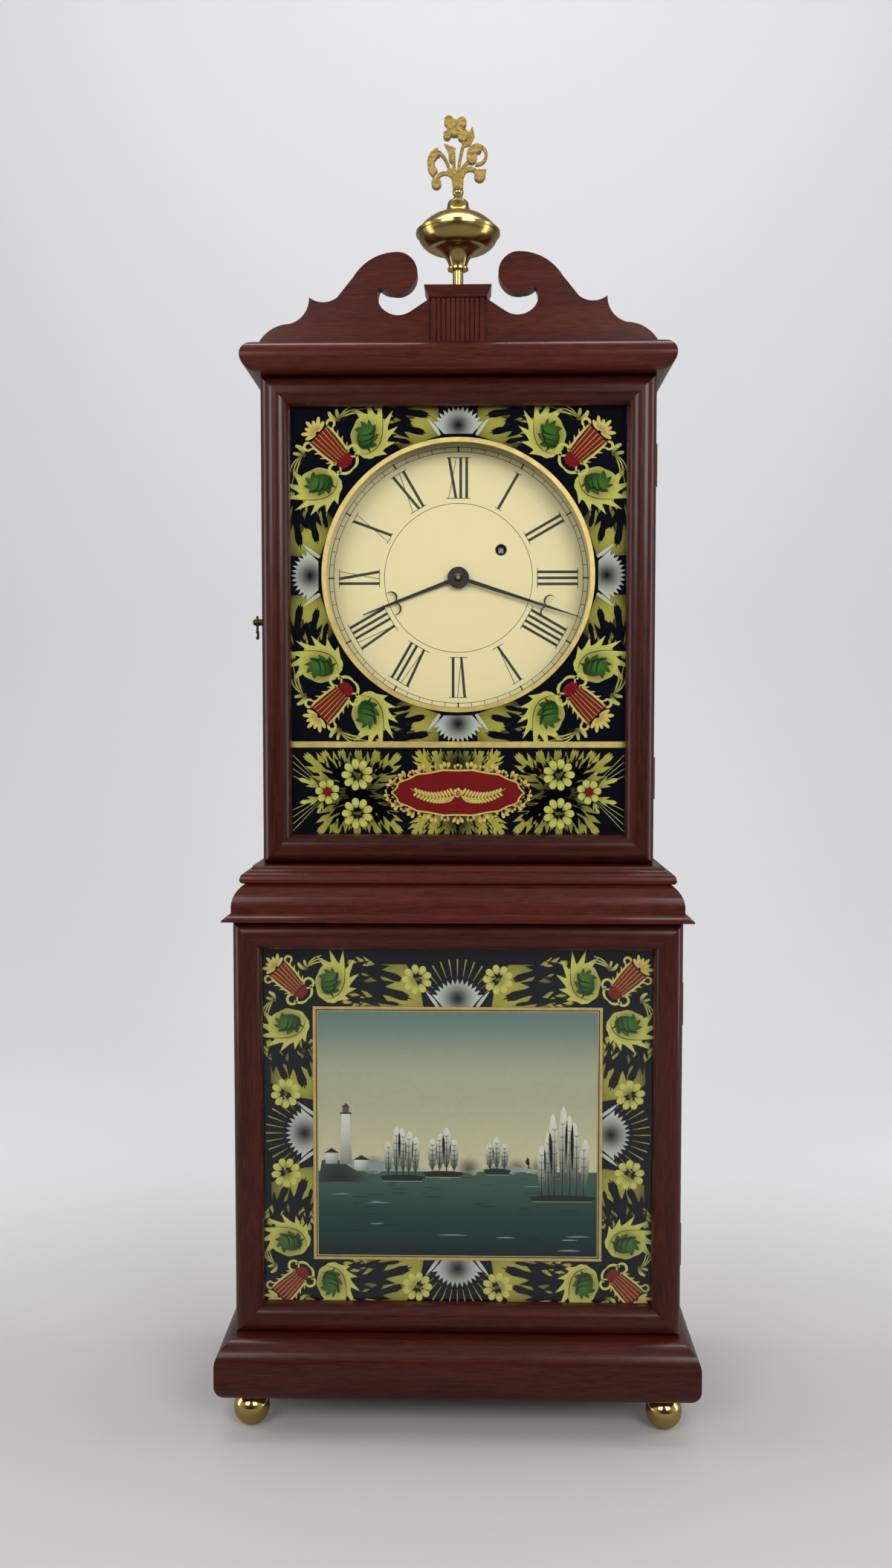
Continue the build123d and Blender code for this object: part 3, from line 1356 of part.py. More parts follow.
# Motion work between the front plate and the dial
pipe_radius = arbor_radius + fit + 0.9
hour_pipe_radius = pipe_radius + fit + 0.9
minute_hand_y = dial_y - 5.0
hour_hand_y = dial_y - 2.5
cannon_y = plate_front - 4.5
hour_wheel_y = plate_front - 7.0
with BuildPart() as cannon_pinion:
    with BuildSketch(facing(0, cannon_y, centre_z)):
        add(gear(cannon_teeth, cannon_module, *pinion_teeth, mesh_start(cannon_teeth, centre_to_minute, True)))
        Circle(arbor_radius + fit, mode=Mode.SUBTRACT)
    extrude(amount=-(plate_front - clearance - cannon_y))
    with BuildSketch(facing(0, minute_hand_y, centre_z)):
        Circle(pipe_radius)
        Circle(arbor_radius + fit, mode=Mode.SUBTRACT)
    extrude(amount=-(cannon_y - minute_hand_y))
cannon_pinion.part.label = "cannon_pinion"
export_step(cannon_pinion.part, "parts/cannon_pinion.step")

with BuildPart() as minute_wheel:
    with BuildSketch(facing(minute_place[0], cannon_y + 1.0, minute_place[1])):
        add(spoked_wheel(gear(minute_teeth, cannon_module, *wheel_teeth,
                              mesh_start(minute_teeth, centre_to_minute + 180, False)),
                         cannon_module * minute_teeth / 2 - cannon_module, 4.5))
        Circle(arbor_radius + fit, mode=Mode.SUBTRACT)
    extrude(amount=-wheel_thickness)
    with BuildSketch(facing(minute_place[0], hour_wheel_y - 1.0, minute_place[1])):
        add(gear(minute_pinion_teeth, hour_module, *pinion_teeth,
                 mesh_start(minute_pinion_teeth, centre_to_minute + 180, True)))
        Circle(arbor_radius + fit, mode=Mode.SUBTRACT)
    extrude(amount=-(cannon_y + 1.0 - hour_wheel_y + 1.0))
minute_wheel.part.label = "minute_wheel"
export_step(minute_wheel.part, "parts/minute_wheel.step")

with BuildPart() as hour_wheel:
    with BuildSketch(facing(0, hour_wheel_y, centre_z)):
        add(spoked_wheel(gear(hour_teeth, hour_module, *wheel_teeth,
                              mesh_start(hour_teeth, centre_to_minute, False)),
                         hour_module * hour_teeth / 2 - hour_module, 5.5))
        Circle(pipe_radius + fit, mode=Mode.SUBTRACT)
    extrude(amount=-wheel_thickness)
    with BuildSketch(facing(0, hour_hand_y, centre_z)):
        Circle(hour_pipe_radius)
        Circle(pipe_radius + fit, mode=Mode.SUBTRACT)
    extrude(amount=-(hour_wheel_y - hour_hand_y))
hour_wheel.part.label = "hour_wheel"
export_step(hour_wheel.part, "parts/hour_wheel.step")


def hand_outline(length, horn_place, bore):
    """Hand that points along local +y: boss, slim tapered blade and a crescent across it."""
    horn_back = horn_place - horn_span * 0.5
    with BuildSketch() as hand:
        Circle(hand_boss_radius)
        with BuildLine():
            Polyline((-1.5, 0), (-0.9, horn_place), (-0.25, length), (0.25, length), (0.9, horn_place),
                     (1.5, 0), close=True)
        make_face()
        with BuildLine():
            ThreePointArc((-horn_span, horn_place + 2.2), (-horn_span * 0.5, horn_back), (0, horn_place))
            ThreePointArc((0, horn_place), (horn_span * 0.5, horn_back), (horn_span, horn_place + 2.2))
            ThreePointArc((horn_span, horn_place + 2.2), (horn_span * 0.55, horn_back - 1.2), (0, horn_place - 2.2))
            ThreePointArc((0, horn_place - 2.2), (-horn_span * 0.55, horn_back - 1.2), (-horn_span, horn_place + 2.2))
        make_face()
        Circle(bore, mode=Mode.SUBTRACT)
    return hand.sketch


hour_turn = -shown_hour * 30
minute_turn = -(shown_hour % 1) * 360
with BuildPart() as hour_hand:
    with BuildSketch(facing(0, hour_hand_y, centre_z)):
        add(hand_outline(hour_hand_length, hour_horn_place, hour_pipe_radius + fit), rotation=hour_turn)
    extrude(amount=-hand_thickness)
hour_hand.part.label = "hour_hand"
export_step(hour_hand.part, "parts/hour_hand.step")

with BuildPart() as minute_hand:
    with BuildSketch(facing(0, minute_hand_y, centre_z)):
        add(hand_outline(minute_hand_length, minute_horn_place, pipe_radius + fit), rotation=minute_turn)
    extrude(amount=-hand_thickness)
minute_hand.part.label = "minute_hand"
export_step(minute_hand.part, "parts/minute_hand.step")

collet_radius = 2.8
with BuildPart() as hand_collet:
    with BuildSketch(facing(0, minute_hand_y, centre_z)):
        Circle(collet_radius)
        Circle(arbor_radius + fit, mode=Mode.SUBTRACT)
    extrude(amount=1.6)
    chamfer(hand_collet.faces().sort_by(Axis.Y)[0].edges().sort_by(SortBy.RADIUS)[-1], 0.6)
hand_collet.part.label = "hand_collet"
export_step(hand_collet.part, "parts/hand_collet.step")

# Weight on a pulley, hung in a loop of cord from the drum to the cross bar between the plates
cord_left = drum_x - drum_radius - cord_gap - cord_radius
cord_right = cord_spot[0]
pulley_x = (cord_left + cord_right) / 2
pulley_z = base_top + weight_clearance + weight_height + weight_to_pulley
cord_plane = drum_y + drum_length / 2
with BuildPart() as weight:
    with BuildSketch(Plane.XY.offset(base_top + weight_clearance)):
        with Locations((pulley_x, cord_plane)):
            RectangleRounded(weight_width, weight_depth, 4.0)
    extrude(amount=weight_height)
    cheek = pulley_width / 2 + clearance
    for side in (-1, 1):
        with BuildSketch(facing(pulley_x, cord_plane + side * (cheek + 1.0) - 1.0,
                                base_top + weight_clearance + weight_height)):
            with Locations((0, weight_to_pulley / 2)):
                Rectangle(8.0, weight_to_pulley)
            with Locations((0, weight_to_pulley)):
                Circle(4.0)
        extrude(amount=-2.0)
    with BuildSketch(facing(pulley_x, cord_plane - cheek - 2.0, pulley_z)):
        Circle(pulley_pin_radius)
    extrude(amount=-(2 * cheek + 4.0))
weight.part.label = "weight"
export_step(weight.part, "parts/weight.step")

with BuildPart() as weight_pulley:
    with BuildSketch(Plane((pulley_x, cord_plane, pulley_z), x_dir=(1, 0, 0), z_dir=(0, 0, 1))):
        with BuildLine():
            Polyline((pulley_pin_radius + fit, -pulley_width / 2),
                     (pulley_radius + pulley_flange, -pulley_width / 2), (pulley_radius, -cord_radius - cord_gap),
                     (pulley_radius, cord_radius + cord_gap), (pulley_radius + pulley_flange, pulley_width / 2),
                     (pulley_pin_radius + fit, pulley_width / 2), close=True)
        make_face()
    revolve(axis=Axis((pulley_x, cord_plane, pulley_z), (0, 1, 0)))
weight_pulley.part.label = "weight_pulley"
export_step(weight_pulley.part, "parts/weight_pulley.step")

cord_end = cord_spot[1] - pillar_radius / 2
cord_loop = (cord_right - cord_left) / 2
drum_loop = drum_x - cord_left
with BuildPart() as weight_cord:
    with BuildLine() as cord_path:
        Line((cord_right, cord_plane, cord_end), (cord_right, cord_plane, pulley_z))
        ThreePointArc((cord_right, cord_plane, pulley_z), (pulley_x, cord_plane, pulley_z - cord_loop),
                      (cord_left, cord_plane, pulley_z))
        Line((cord_left, cord_plane, pulley_z), (cord_left, cord_plane, drum_place[1]))
        ThreePointArc((cord_left, cord_plane, drum_place[1]), (drum_x, cord_plane, drum_place[1] + drum_loop),
                      (drum_x + drum_loop, cord_plane, drum_place[1]))
    with BuildSketch(Plane((cord_right, cord_plane, cord_end), z_dir=(0, 0, -1))):
        Circle(cord_radius)
    sweep(path=cord_path.line)
weight_cord.part.label = "weight_cord"
export_step(weight_cord.part, "parts/weight_cord.step")
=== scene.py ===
"""Looks of the shelf clock: woods, metals, painted glass, printed dial, light and camera."""

import logging
import math
import random
from dataclasses import dataclass, field
from enum import Enum

import bpy
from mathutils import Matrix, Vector
from mathutils.geometry import tessellate_polygon


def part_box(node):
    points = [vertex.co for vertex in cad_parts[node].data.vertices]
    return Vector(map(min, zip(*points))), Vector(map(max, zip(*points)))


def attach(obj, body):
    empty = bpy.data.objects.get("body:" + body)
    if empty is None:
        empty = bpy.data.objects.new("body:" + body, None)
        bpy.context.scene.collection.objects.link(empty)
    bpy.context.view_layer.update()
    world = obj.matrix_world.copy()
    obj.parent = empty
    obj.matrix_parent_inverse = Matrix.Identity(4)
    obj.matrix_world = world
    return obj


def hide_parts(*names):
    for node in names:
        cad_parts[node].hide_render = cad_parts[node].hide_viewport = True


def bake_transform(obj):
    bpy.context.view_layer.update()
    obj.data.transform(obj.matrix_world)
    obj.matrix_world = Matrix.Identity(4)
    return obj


Colour = tuple[float, float, float]
Point = tuple[float, float]
Spot = tuple[float, float, float]
Leaf = tuple[Point, Point, Point, float, int]

MM = 0.001
LOG = logging.getLogger("shelf_clock")

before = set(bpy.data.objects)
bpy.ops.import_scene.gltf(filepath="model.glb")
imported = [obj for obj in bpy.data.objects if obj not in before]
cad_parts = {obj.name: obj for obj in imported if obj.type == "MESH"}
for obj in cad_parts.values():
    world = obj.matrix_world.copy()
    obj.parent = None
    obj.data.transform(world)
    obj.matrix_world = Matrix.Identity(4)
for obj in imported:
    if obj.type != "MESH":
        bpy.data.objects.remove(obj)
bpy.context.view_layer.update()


class Grain(Enum):
    """The way the grain of a wooden piece runs, as stretch factors along X, Y and Z."""

    ACROSS = (1.8, 20.0, 20.0)
    DEEP = (20.0, 1.8, 20.0)
    UPRIGHT = (20.0, 20.0, 1.8)


class Paint(Enum):
    """Colours of the painted glass and the dial."""

    GROUND = (0.0025, 0.0032, 0.0065)
    OLIVE = (0.34, 0.31, 0.055)
    PALE_OLIVE = (0.47, 0.45, 0.11)
    DARK_OLIVE = (0.06, 0.055, 0.012)
    LEAF_GREEN = (0.050, 0.13, 0.022)
    DEEP_GREEN = (0.008, 0.030, 0.008)
    SILVER = (0.44, 0.46, 0.41)
    LYRE_RED = (0.15, 0.016, 0.010)
    GILT = (0.56, 0.42, 0.12)
    SHADED_GILT = (0.20, 0.12, 0.03)
    CARTOUCHE_RED = (0.15, 0.009, 0.009)
    PRINT_BLACK = (0.012, 0.012, 0.012)
    SKY_HIGH = (0.12, 0.175, 0.16)
    SKY_MIDDLE = (0.34, 0.35, 0.235)
    SKY_LOW = (0.50, 0.455, 0.28)
    SEA_FAR = (0.042, 0.090, 0.066)
    SEA_MIDDLE = (0.010, 0.036, 0.030)
    SEA_NEAR = (0.004, 0.015, 0.017)
    HILL_FAR = (0.20, 0.26, 0.25)
    HILL_NEAR = (0.012, 0.016, 0.013)
    CHALK = (0.60, 0.59, 0.49)
    CHALK_SHADE = (0.075, 0.08, 0.072)


def mix_colours(near: Colour, far: Colour, share: float) -> Colour:
    """Return the colour a share of the way from near to far."""
    return tuple(a + (b - a) * share for a, b in zip(near, far))


@dataclass(frozen=True)
class Wash:
    """Paint that fades from one colour to another, round a focus or upward from it."""

    near: Paint
    far: Paint
    focus: Point = (0.0, 0.0)
    reach: float = 1.0
    upright: bool = False

    def at(self, point: Point) -> Colour:
        """Return the colour at a point.

        Args:
            point: place in the motif's own plane, in millimetres.

        Returns:
            The linear colour there.
        """
        across = point[0] - self.focus[0]
        up = point[1] - self.focus[1]
        run = up if self.upright else math.hypot(across, up)
        share = min(max(run / self.reach, 0.0), 1.0)
        return mix_colours(self.near.value, self.far.value, share * share * (3 - 2 * share))


@dataclass(frozen=True)
class Place:
    """Where a motif lies in its panel: offset in millimetres, turn in degrees, size and mirroring."""

    x: float = 0.0
    y: float = 0.0
    turn: float = 0.0
    size: float = 1.0
    flipped: bool = False

    def put(self, point: Point) -> Point:
        """Return the panel place of a point of the motif.

        Args:
            point: place in the motif's own plane.

        Returns:
            The place in the panel.
        """
        across = (-point[0] if self.flipped else point[0]) * self.size
        up = point[1] * self.size
        turn = math.radians(self.turn)
        return (
            self.x + across * math.cos(turn) - up * math.sin(turn),
            self.y + across * math.sin(turn) + up * math.cos(turn),
        )

    def across_upright(self) -> "Place":
        """Return the mirror image in the panel's upright middle line."""
        return Place(-self.x, self.y, -self.turn, self.size, not self.flipped)

    def across_level(self) -> "Place":
        """Return the mirror image in the panel's level middle line."""
        return Place(self.x, -self.y, 180 - self.turn, self.size, not self.flipped)

    def across_corner(self, corner: Point = (0.0, 0.0)) -> "Place":
        """Return the mirror image in the line at 45 degrees that runs up to the left through a point.

        Args:
            corner: the point.

        Returns:
            The mirrored place.
        """
        across = corner[0] - (self.y - corner[1])
        up = corner[1] - (self.x - corner[0])
        return Place(across, up, 90 - self.turn, self.size, not self.flipped)

    def fourfold(self) -> list["Place"]:
        """Return the place with its mirror images in both middle lines."""
        return [self, self.across_upright(), self.across_level(), self.across_level().across_upright()]


@dataclass
class Shape:
    """One painted outline with its wash; a higher layer lies over a lower one."""

    outline: list[Point]
    wash: Wash
    layer: int = 1
    holes: list[list[Point]] = field(default_factory=list)


def plain(paint: Paint) -> Wash:
    """Return a wash of one even colour."""
    return Wash(paint, paint)


def arc(centre: Point, radius: float, start: float, end: float, count: int = 24) -> list[Point]:
    """Return points along an arc, with angles in degrees counted from the right."""
    turns = [math.radians(start + (end - start) * n / count) for n in range(count + 1)]
    return [(centre[0] + radius * math.cos(t), centre[1] + radius * math.sin(t)) for t in turns]


def circle(radius: float) -> list[Point]:
    """Return a fine circle round the origin."""
    return arc((0, 0), radius, 0, 357, 119)


def curve(start: Point, pull: Point, end: Point, count: int = 10) -> list[Point]:
    """Return points along a curve from start to end that is pulled towards a third point.

    Args:
        start: first point.
        pull: point that the curve is pulled towards.
        end: last point.
        count: number of steps.

    Returns:
        The points, one more than the steps.
    """
    points = []
    for number in range(count + 1):
        t = number / count
        weights = ((1 - t) ** 2, 2 * t * (1 - t), t * t)
        points.append(tuple(sum(w * p[i] for w, p in zip(weights, (start, pull, end))) for i in (0, 1)))
    return points


def sized(points: list[Point], size: float) -> list[Point]:
    """Return the points scaled from the origin."""
    return [(x * size, y * size) for x, y in points]


def box_at(x: float, base: float, width: float, height: float) -> list[Point]:
    """Return an upright rectangle that stands on a base."""
    return [(x - width / 2, base), (x + width / 2, base), (x + width / 2, base + height),
            (x - width / 2, base + height)]


def rectangle(half_width: float, low: float, high: float) -> list[Point]:
    """Return a rectangle's corners, centred across."""
    return [(-half_width, low), (half_width, low), (half_width, high), (-half_width, high)]


def brush(line: list[Point], start: float, end: float, belly: float = 0.0) -> list[Point]:
    """Return the outline of a brush stroke.

    Args:
        line: points along its middle.
        start: width at the first point.
        end: width at the last point.
        belly: extra width halfway.

    Returns:
        The closed outline.
    """
    left = []
    right = []
    for number, point in enumerate(line):
        before = line[max(number - 1, 0)]
        after = line[min(number + 1, len(line) - 1)]
        run = (after[0] - before[0], after[1] - before[1])
        length = math.hypot(*run) or 1.0
        t = number / (len(line) - 1)
        half = (start + (end - start) * t + belly * math.sin(math.pi * t)) / 2
        side = (-run[1] / length * half, run[0] / length * half)
        left.append((point[0] + side[0], point[1] + side[1]))
        right.append((point[0] - side[0], point[1] - side[1]))
    return left + right[::-1]


def toothed_leaf(base: Point, pull: Point, tip: Point, width: float, teeth: int) -> list[Point]:
    """Return the outline of a leaf with saw teeth that lean towards its tip.

    Args:
        base: where the leaf starts.
        pull: point that bends its middle line.
        tip: its point.
        width: greatest width.
        teeth: number of teeth on each edge.

    Returns:
        The closed outline.
    """
    spine = curve(base, pull, tip, teeth * 4)
    sides = []
    for hand in (1, -1):
        edge = [base]
        for tooth in range(teeth):
            for step, depth in ((0.6, 0.42), (2.6, 0.9), (3.9, 1.15), (3.95, 0.45)):
                place = tooth * 4 + step
                at = spine[min(int(place), len(spine) - 2)]
                ahead = spine[min(int(place) + 1, len(spine) - 1)]
                run = (ahead[0] - at[0], ahead[1] - at[1])
                length = math.hypot(*run) or 1.0
                t = place / (teeth * 4)
                half = width / 2 * depth * math.sin(math.pi * min(t * 0.82 + 0.12, 1.0))
                lean = 0.8 * half if depth > 1.0 else 0.0
                edge.append((
                    at[0] - hand * run[1] / length * half + run[0] / length * lean,
                    at[1] + hand * run[0] / length * half + run[1] / length * lean,
                ))
        sides.append(edge)
    return sides[0] + [tip] + sides[1][:0:-1]


def leaves(rows: list[Leaf], wash: Wash, layer: int) -> list[Shape]:
    """Return toothed leaves in one wash, each from its base, pull, tip, width and teeth."""
    return [Shape(toothed_leaf(*row), wash, layer) for row in rows]


def palmette(height: float, tips: int, spread: float, base: float) -> list[Point]:
    """Return the outline of a fan with pointed tips, standing on its base at the origin.

    Args:
        height: distance of the tips from the origin.
        tips: number of tips.
        spread: angle of the outer tips from upright, in degrees.
        base: half the width of the base.

    Returns:
        The closed outline.
    """
    points = [(-base, 0.0)]
    for number in range(tips):
        angle = math.radians(90 + spread - 2 * spread * number / (tips - 1))
        valley = math.radians(90 + spread - 2 * spread * (number + 0.5) / (tips - 1))
        points.append((height * math.cos(angle), height * math.sin(angle)))
        if number < tips - 1:
            points.append((0.8 * height * math.cos(valley), 0.8 * height * math.sin(valley)))
    points.append((base, 0.0))
    return points


def petal(start: float, end: float, width: float, angle: float) -> list[Point]:
    """Return the outline of a rounded petal that points away from the origin.

    Args:
        start: distance of its near end.
        end: distance of its far end.
        width: greatest width.
        angle: direction in degrees, counted from the right.

    Returns:
        The closed outline.
    """
    turn = math.radians(angle)
    outline = []
    for number in range(14):
        t = 2 * math.pi * number / 14
        along = (start + end) / 2 - math.cos(t) * (end - start) / 2
        half = math.sin(t) * width / 2 * (0.62 + 0.38 * (along - start) / (end - start))
        outline.append((along * math.cos(turn) - half * math.sin(turn),
                        along * math.sin(turn) + half * math.cos(turn)))
    return outline


def daisy(radius: float, petals: int = 9, heart: Paint = Paint.OLIVE) -> list[Shape]:
    """Return the shapes of a daisy: petals with dark gaps round a small heart.

    Args:
        radius: distance of the petal ends.
        petals: number of petals.
        heart: paint of the heart; any but olive makes it larger.

    Returns:
        The shapes, heart last.
    """
    wash = Wash(Paint.DARK_OLIVE, Paint.PALE_OLIVE, reach=radius * 0.75)
    width = 2 * math.pi * radius * 0.78 / petals
    shapes = [
        Shape(petal(radius * 0.34, radius, width, 360 * number / petals + 20), wash, 2)
        for number in range(petals)
    ]
    if heart is Paint.OLIVE:
        shapes.append(Shape(petal(-radius * 0.2, radius * 0.2, radius * 0.26, 0), wash, 3))
    else:
        shapes.append(Shape(arc((0, 0), radius * 0.34, 0, 345, 14), plain(heart), 3))
    return shapes


def curled_leaf(size: float) -> list[Shape]:
    """Return the shapes of a toothed olive leaf that curls round a toothed green heart.

    Args:
        size: half height of the motif, in millimetres.

    Returns:
        The shapes.
    """
    edge = []
    for number in range(52):
        angle = 360 * number / 52 - 90
        tooth = (number % 4) / 3
        toothed = -58 < angle < 128
        length = 0.30 + 0.22 * math.cos(math.radians(angle - 70))
        reach = size * (0.72 + (length * tooth ** 2 if toothed else 0.02 * math.sin(number)))
        turn = math.radians(angle + (9 * tooth if toothed else 0))
        edge.append((reach * 0.84 * math.cos(turn), reach * math.sin(turn)))
    heart = []
    for number in range(40):
        angle = 9 * number - 90
        tooth = (number % 4) / 3 if -70 < angle < 170 else 0.0
        reach = size * (0.31 + 0.15 * tooth)
        turn = math.radians(angle + 8 * tooth)
        heart.append((reach * 0.86 * math.cos(turn) - size * 0.12,
                      reach * 1.20 * math.sin(turn) - size * 0.04))
    rim = [(x * 1.10 + size * 0.02, y * 1.08 - size * 0.01) for x, y in heart]
    swirls = []
    for drop, bend in ((0.0, 0.34), (-0.20, 0.26), (0.18, 0.30)):
        line = curve((-size * 0.36, (drop - 0.22) * size), (bend * size, (drop - 0.12) * size),
                     (size * 0.06, (drop + 0.20) * size))
        swirls.append(Shape(brush(line, 0.3, 0.5, 0.9), plain(Paint.DEEP_GREEN), 4))
    vein = curve((-size * 0.20, -size * 0.62), (size * 0.62, -size * 0.50), (size * 0.34, size * 0.66))
    return [
        Shape(edge, Wash(Paint.DARK_OLIVE, Paint.PALE_OLIVE, (-size * 0.1, 0), size * 0.80), 1),
        Shape(rim, plain(Paint.DARK_OLIVE), 2),
        Shape(heart, Wash(Paint.LEAF_GREEN, Paint.DEEP_GREEN, (-size * 0.05, size * 0.1), size * 0.62), 3),
        Shape(brush(vein, 0.2, 0.3, 0.5), plain(Paint.DARK_OLIVE), 2),
        *swirls,
    ]


def lyre(size: float) -> list[Shape]:
    """Return the shapes of a lyre, upright: strings, scrolled arms, foot and leaf crown.

    Args:
        size: half height of the motif, in millimetres.

    Returns:
        The shapes.
    """
    gilt = Wash(Paint.GILT, Paint.PALE_OLIVE, (0, size), size * 1.4)
    red = Wash(Paint.LYRE_RED, Paint.CARTOUCHE_RED, (0, size * 0.4), size)
    body = [(-0.40, 0.70), (0.40, 0.70), (0.27, -0.40), (-0.27, -0.40)]
    foot = [(x * 0.30, y * 0.20 - 0.56) for x, y in arc((0, 0), 1, 0, 345, 18)]
    shapes = [
        Shape(sized(body, size), red, 2),
        Shape(sized(foot, size), red, 2),
    ]
    for number in range(5):
        share = (number - 2) / 2.5
        line = [(share * 0.26 * size, -0.40 * size), (share * 0.39 * size, 0.68 * size)]
        shapes.append(Shape(brush(line, size * 0.010, size * 0.018), gilt, 3))
    for hand in (-1, 1):
        arm = curve((hand * 0.42, 0.74), (hand * 0.44, 0.1), (hand * 0.30, -0.40), 8)
        scroll = arc((hand * 0.44, -0.52), 0.19, 90 + hand * 60, 90 - hand * 250, 14)
        top = arc((hand * 0.54, 0.66), 0.13, 180 if hand > 0 else 0, -90 if hand > 0 else 270, 10)
        foot_scroll = curve((hand * 0.44, -0.62), (hand * 0.30, -0.98), (0.0, -0.92), 8)
        for line, thick in ((arm, 0.05), (scroll, 0.08), (top, 0.07), (foot_scroll, 0.08)):
            stroke = brush(sized(line, size), thick * size, 0.05 * size, 0.03 * size)
            shapes.append(Shape(stroke, gilt, 4))
        for number in range(4):
            along = -0.30 + 0.25 * number
            root = (hand * (0.32 + 0.03 * number) * size, along * size)
            tip = (hand * (0.50 + 0.03 * number) * size, (along + 0.14) * size)
            shapes.append(Shape(brush([root, tip], size * 0.08, size * 0.02), gilt, 3))
    for number in range(7):
        lean = (number - 3) * 24
        length = size * (0.56 if number % 2 else 0.46)
        leaf = petal(size * 0.06, length, size * 0.16, 90 + lean)
        shapes.append(Shape([(x, y + size * 0.74) for x, y in leaf], gilt, 4))
    return shapes


def sprig(size: float) -> list[Shape]:
    """Return the shapes of two fat commas with three long thin strokes.

    Args:
        size: half height of the motif, in millimetres.

    Returns:
        The shapes.
    """
    wash = Wash(Paint.DARK_OLIVE, Paint.PALE_OLIVE, reach=size * 0.9)
    shapes = []
    for pull, end, belly in (((-0.7, 0.1), (-0.75, 0.85), 0.26), ((-0.1, 0.25), (-0.05, 0.95), 0.18)):
        line = curve((0.1, -0.1), pull, end, 9)
        stroke = brush(sized(line, size), size * 0.06, size * 0.20, size * belly)
        shapes.append(Shape(stroke, wash, 2))
    for lift in (0.25, 0.55, 0.85):
        line = curve((-0.1, 0.0), (0.7, lift + 0.25), (1.9, lift * 1.1), 10)
        shapes.append(Shape(brush(sized(line, size), 0.2, 0.5, 0.5), wash, 1))
    return shapes


def fan_rays(inner: float, outer: float, spread: float, count: int) -> list[Shape]:
    """Return thin strokes that stand round the origin like rays, upward.

    Args:
        inner: distance of their near ends.
        outer: distance of their far ends.
        spread: angle of the outer rays from upright, in degrees.
        count: number of rays.

    Returns:
        The shapes.
    """
    shapes = []
    for number in range(count):
        turn = math.radians(90 + spread - 2 * spread * number / (count - 1))
        line = [(r * math.cos(turn), r * math.sin(turn)) for r in (inner, outer)]
        wash = Wash(Paint.GROUND, Paint.OLIVE, reach=outer)
        shapes.append(Shape(brush(line, 0.3, 0.9), wash, 1))
    return shapes


def silver_fan(height: float) -> list[Shape]:
    """Return the shapes of a silver palmette with a dark heart and a curved petal each side.

    Args:
        height: distance of the palmette's tips from its base.

    Returns:
        The shapes.
    """
    wash = Wash(Paint.GROUND, Paint.SILVER, (0, height * 0.30), height * 0.80)
    side = Wash(Paint.DARK_OLIVE, Paint.SILVER, (0, -2), height * 0.95)
    shapes = [Shape(palmette(height, 13, 64, height * 0.52), wash, 2)]
    for hand in (-1, 1):
        line = curve((hand * height * 0.66, -1), (hand * height * 0.86, height * 0.26),
                     (hand * height * 1.12, height * 0.55))
        shapes.append(Shape(brush(line, height * 0.10, 0.3, height * 0.06), side, 2))
    return shapes


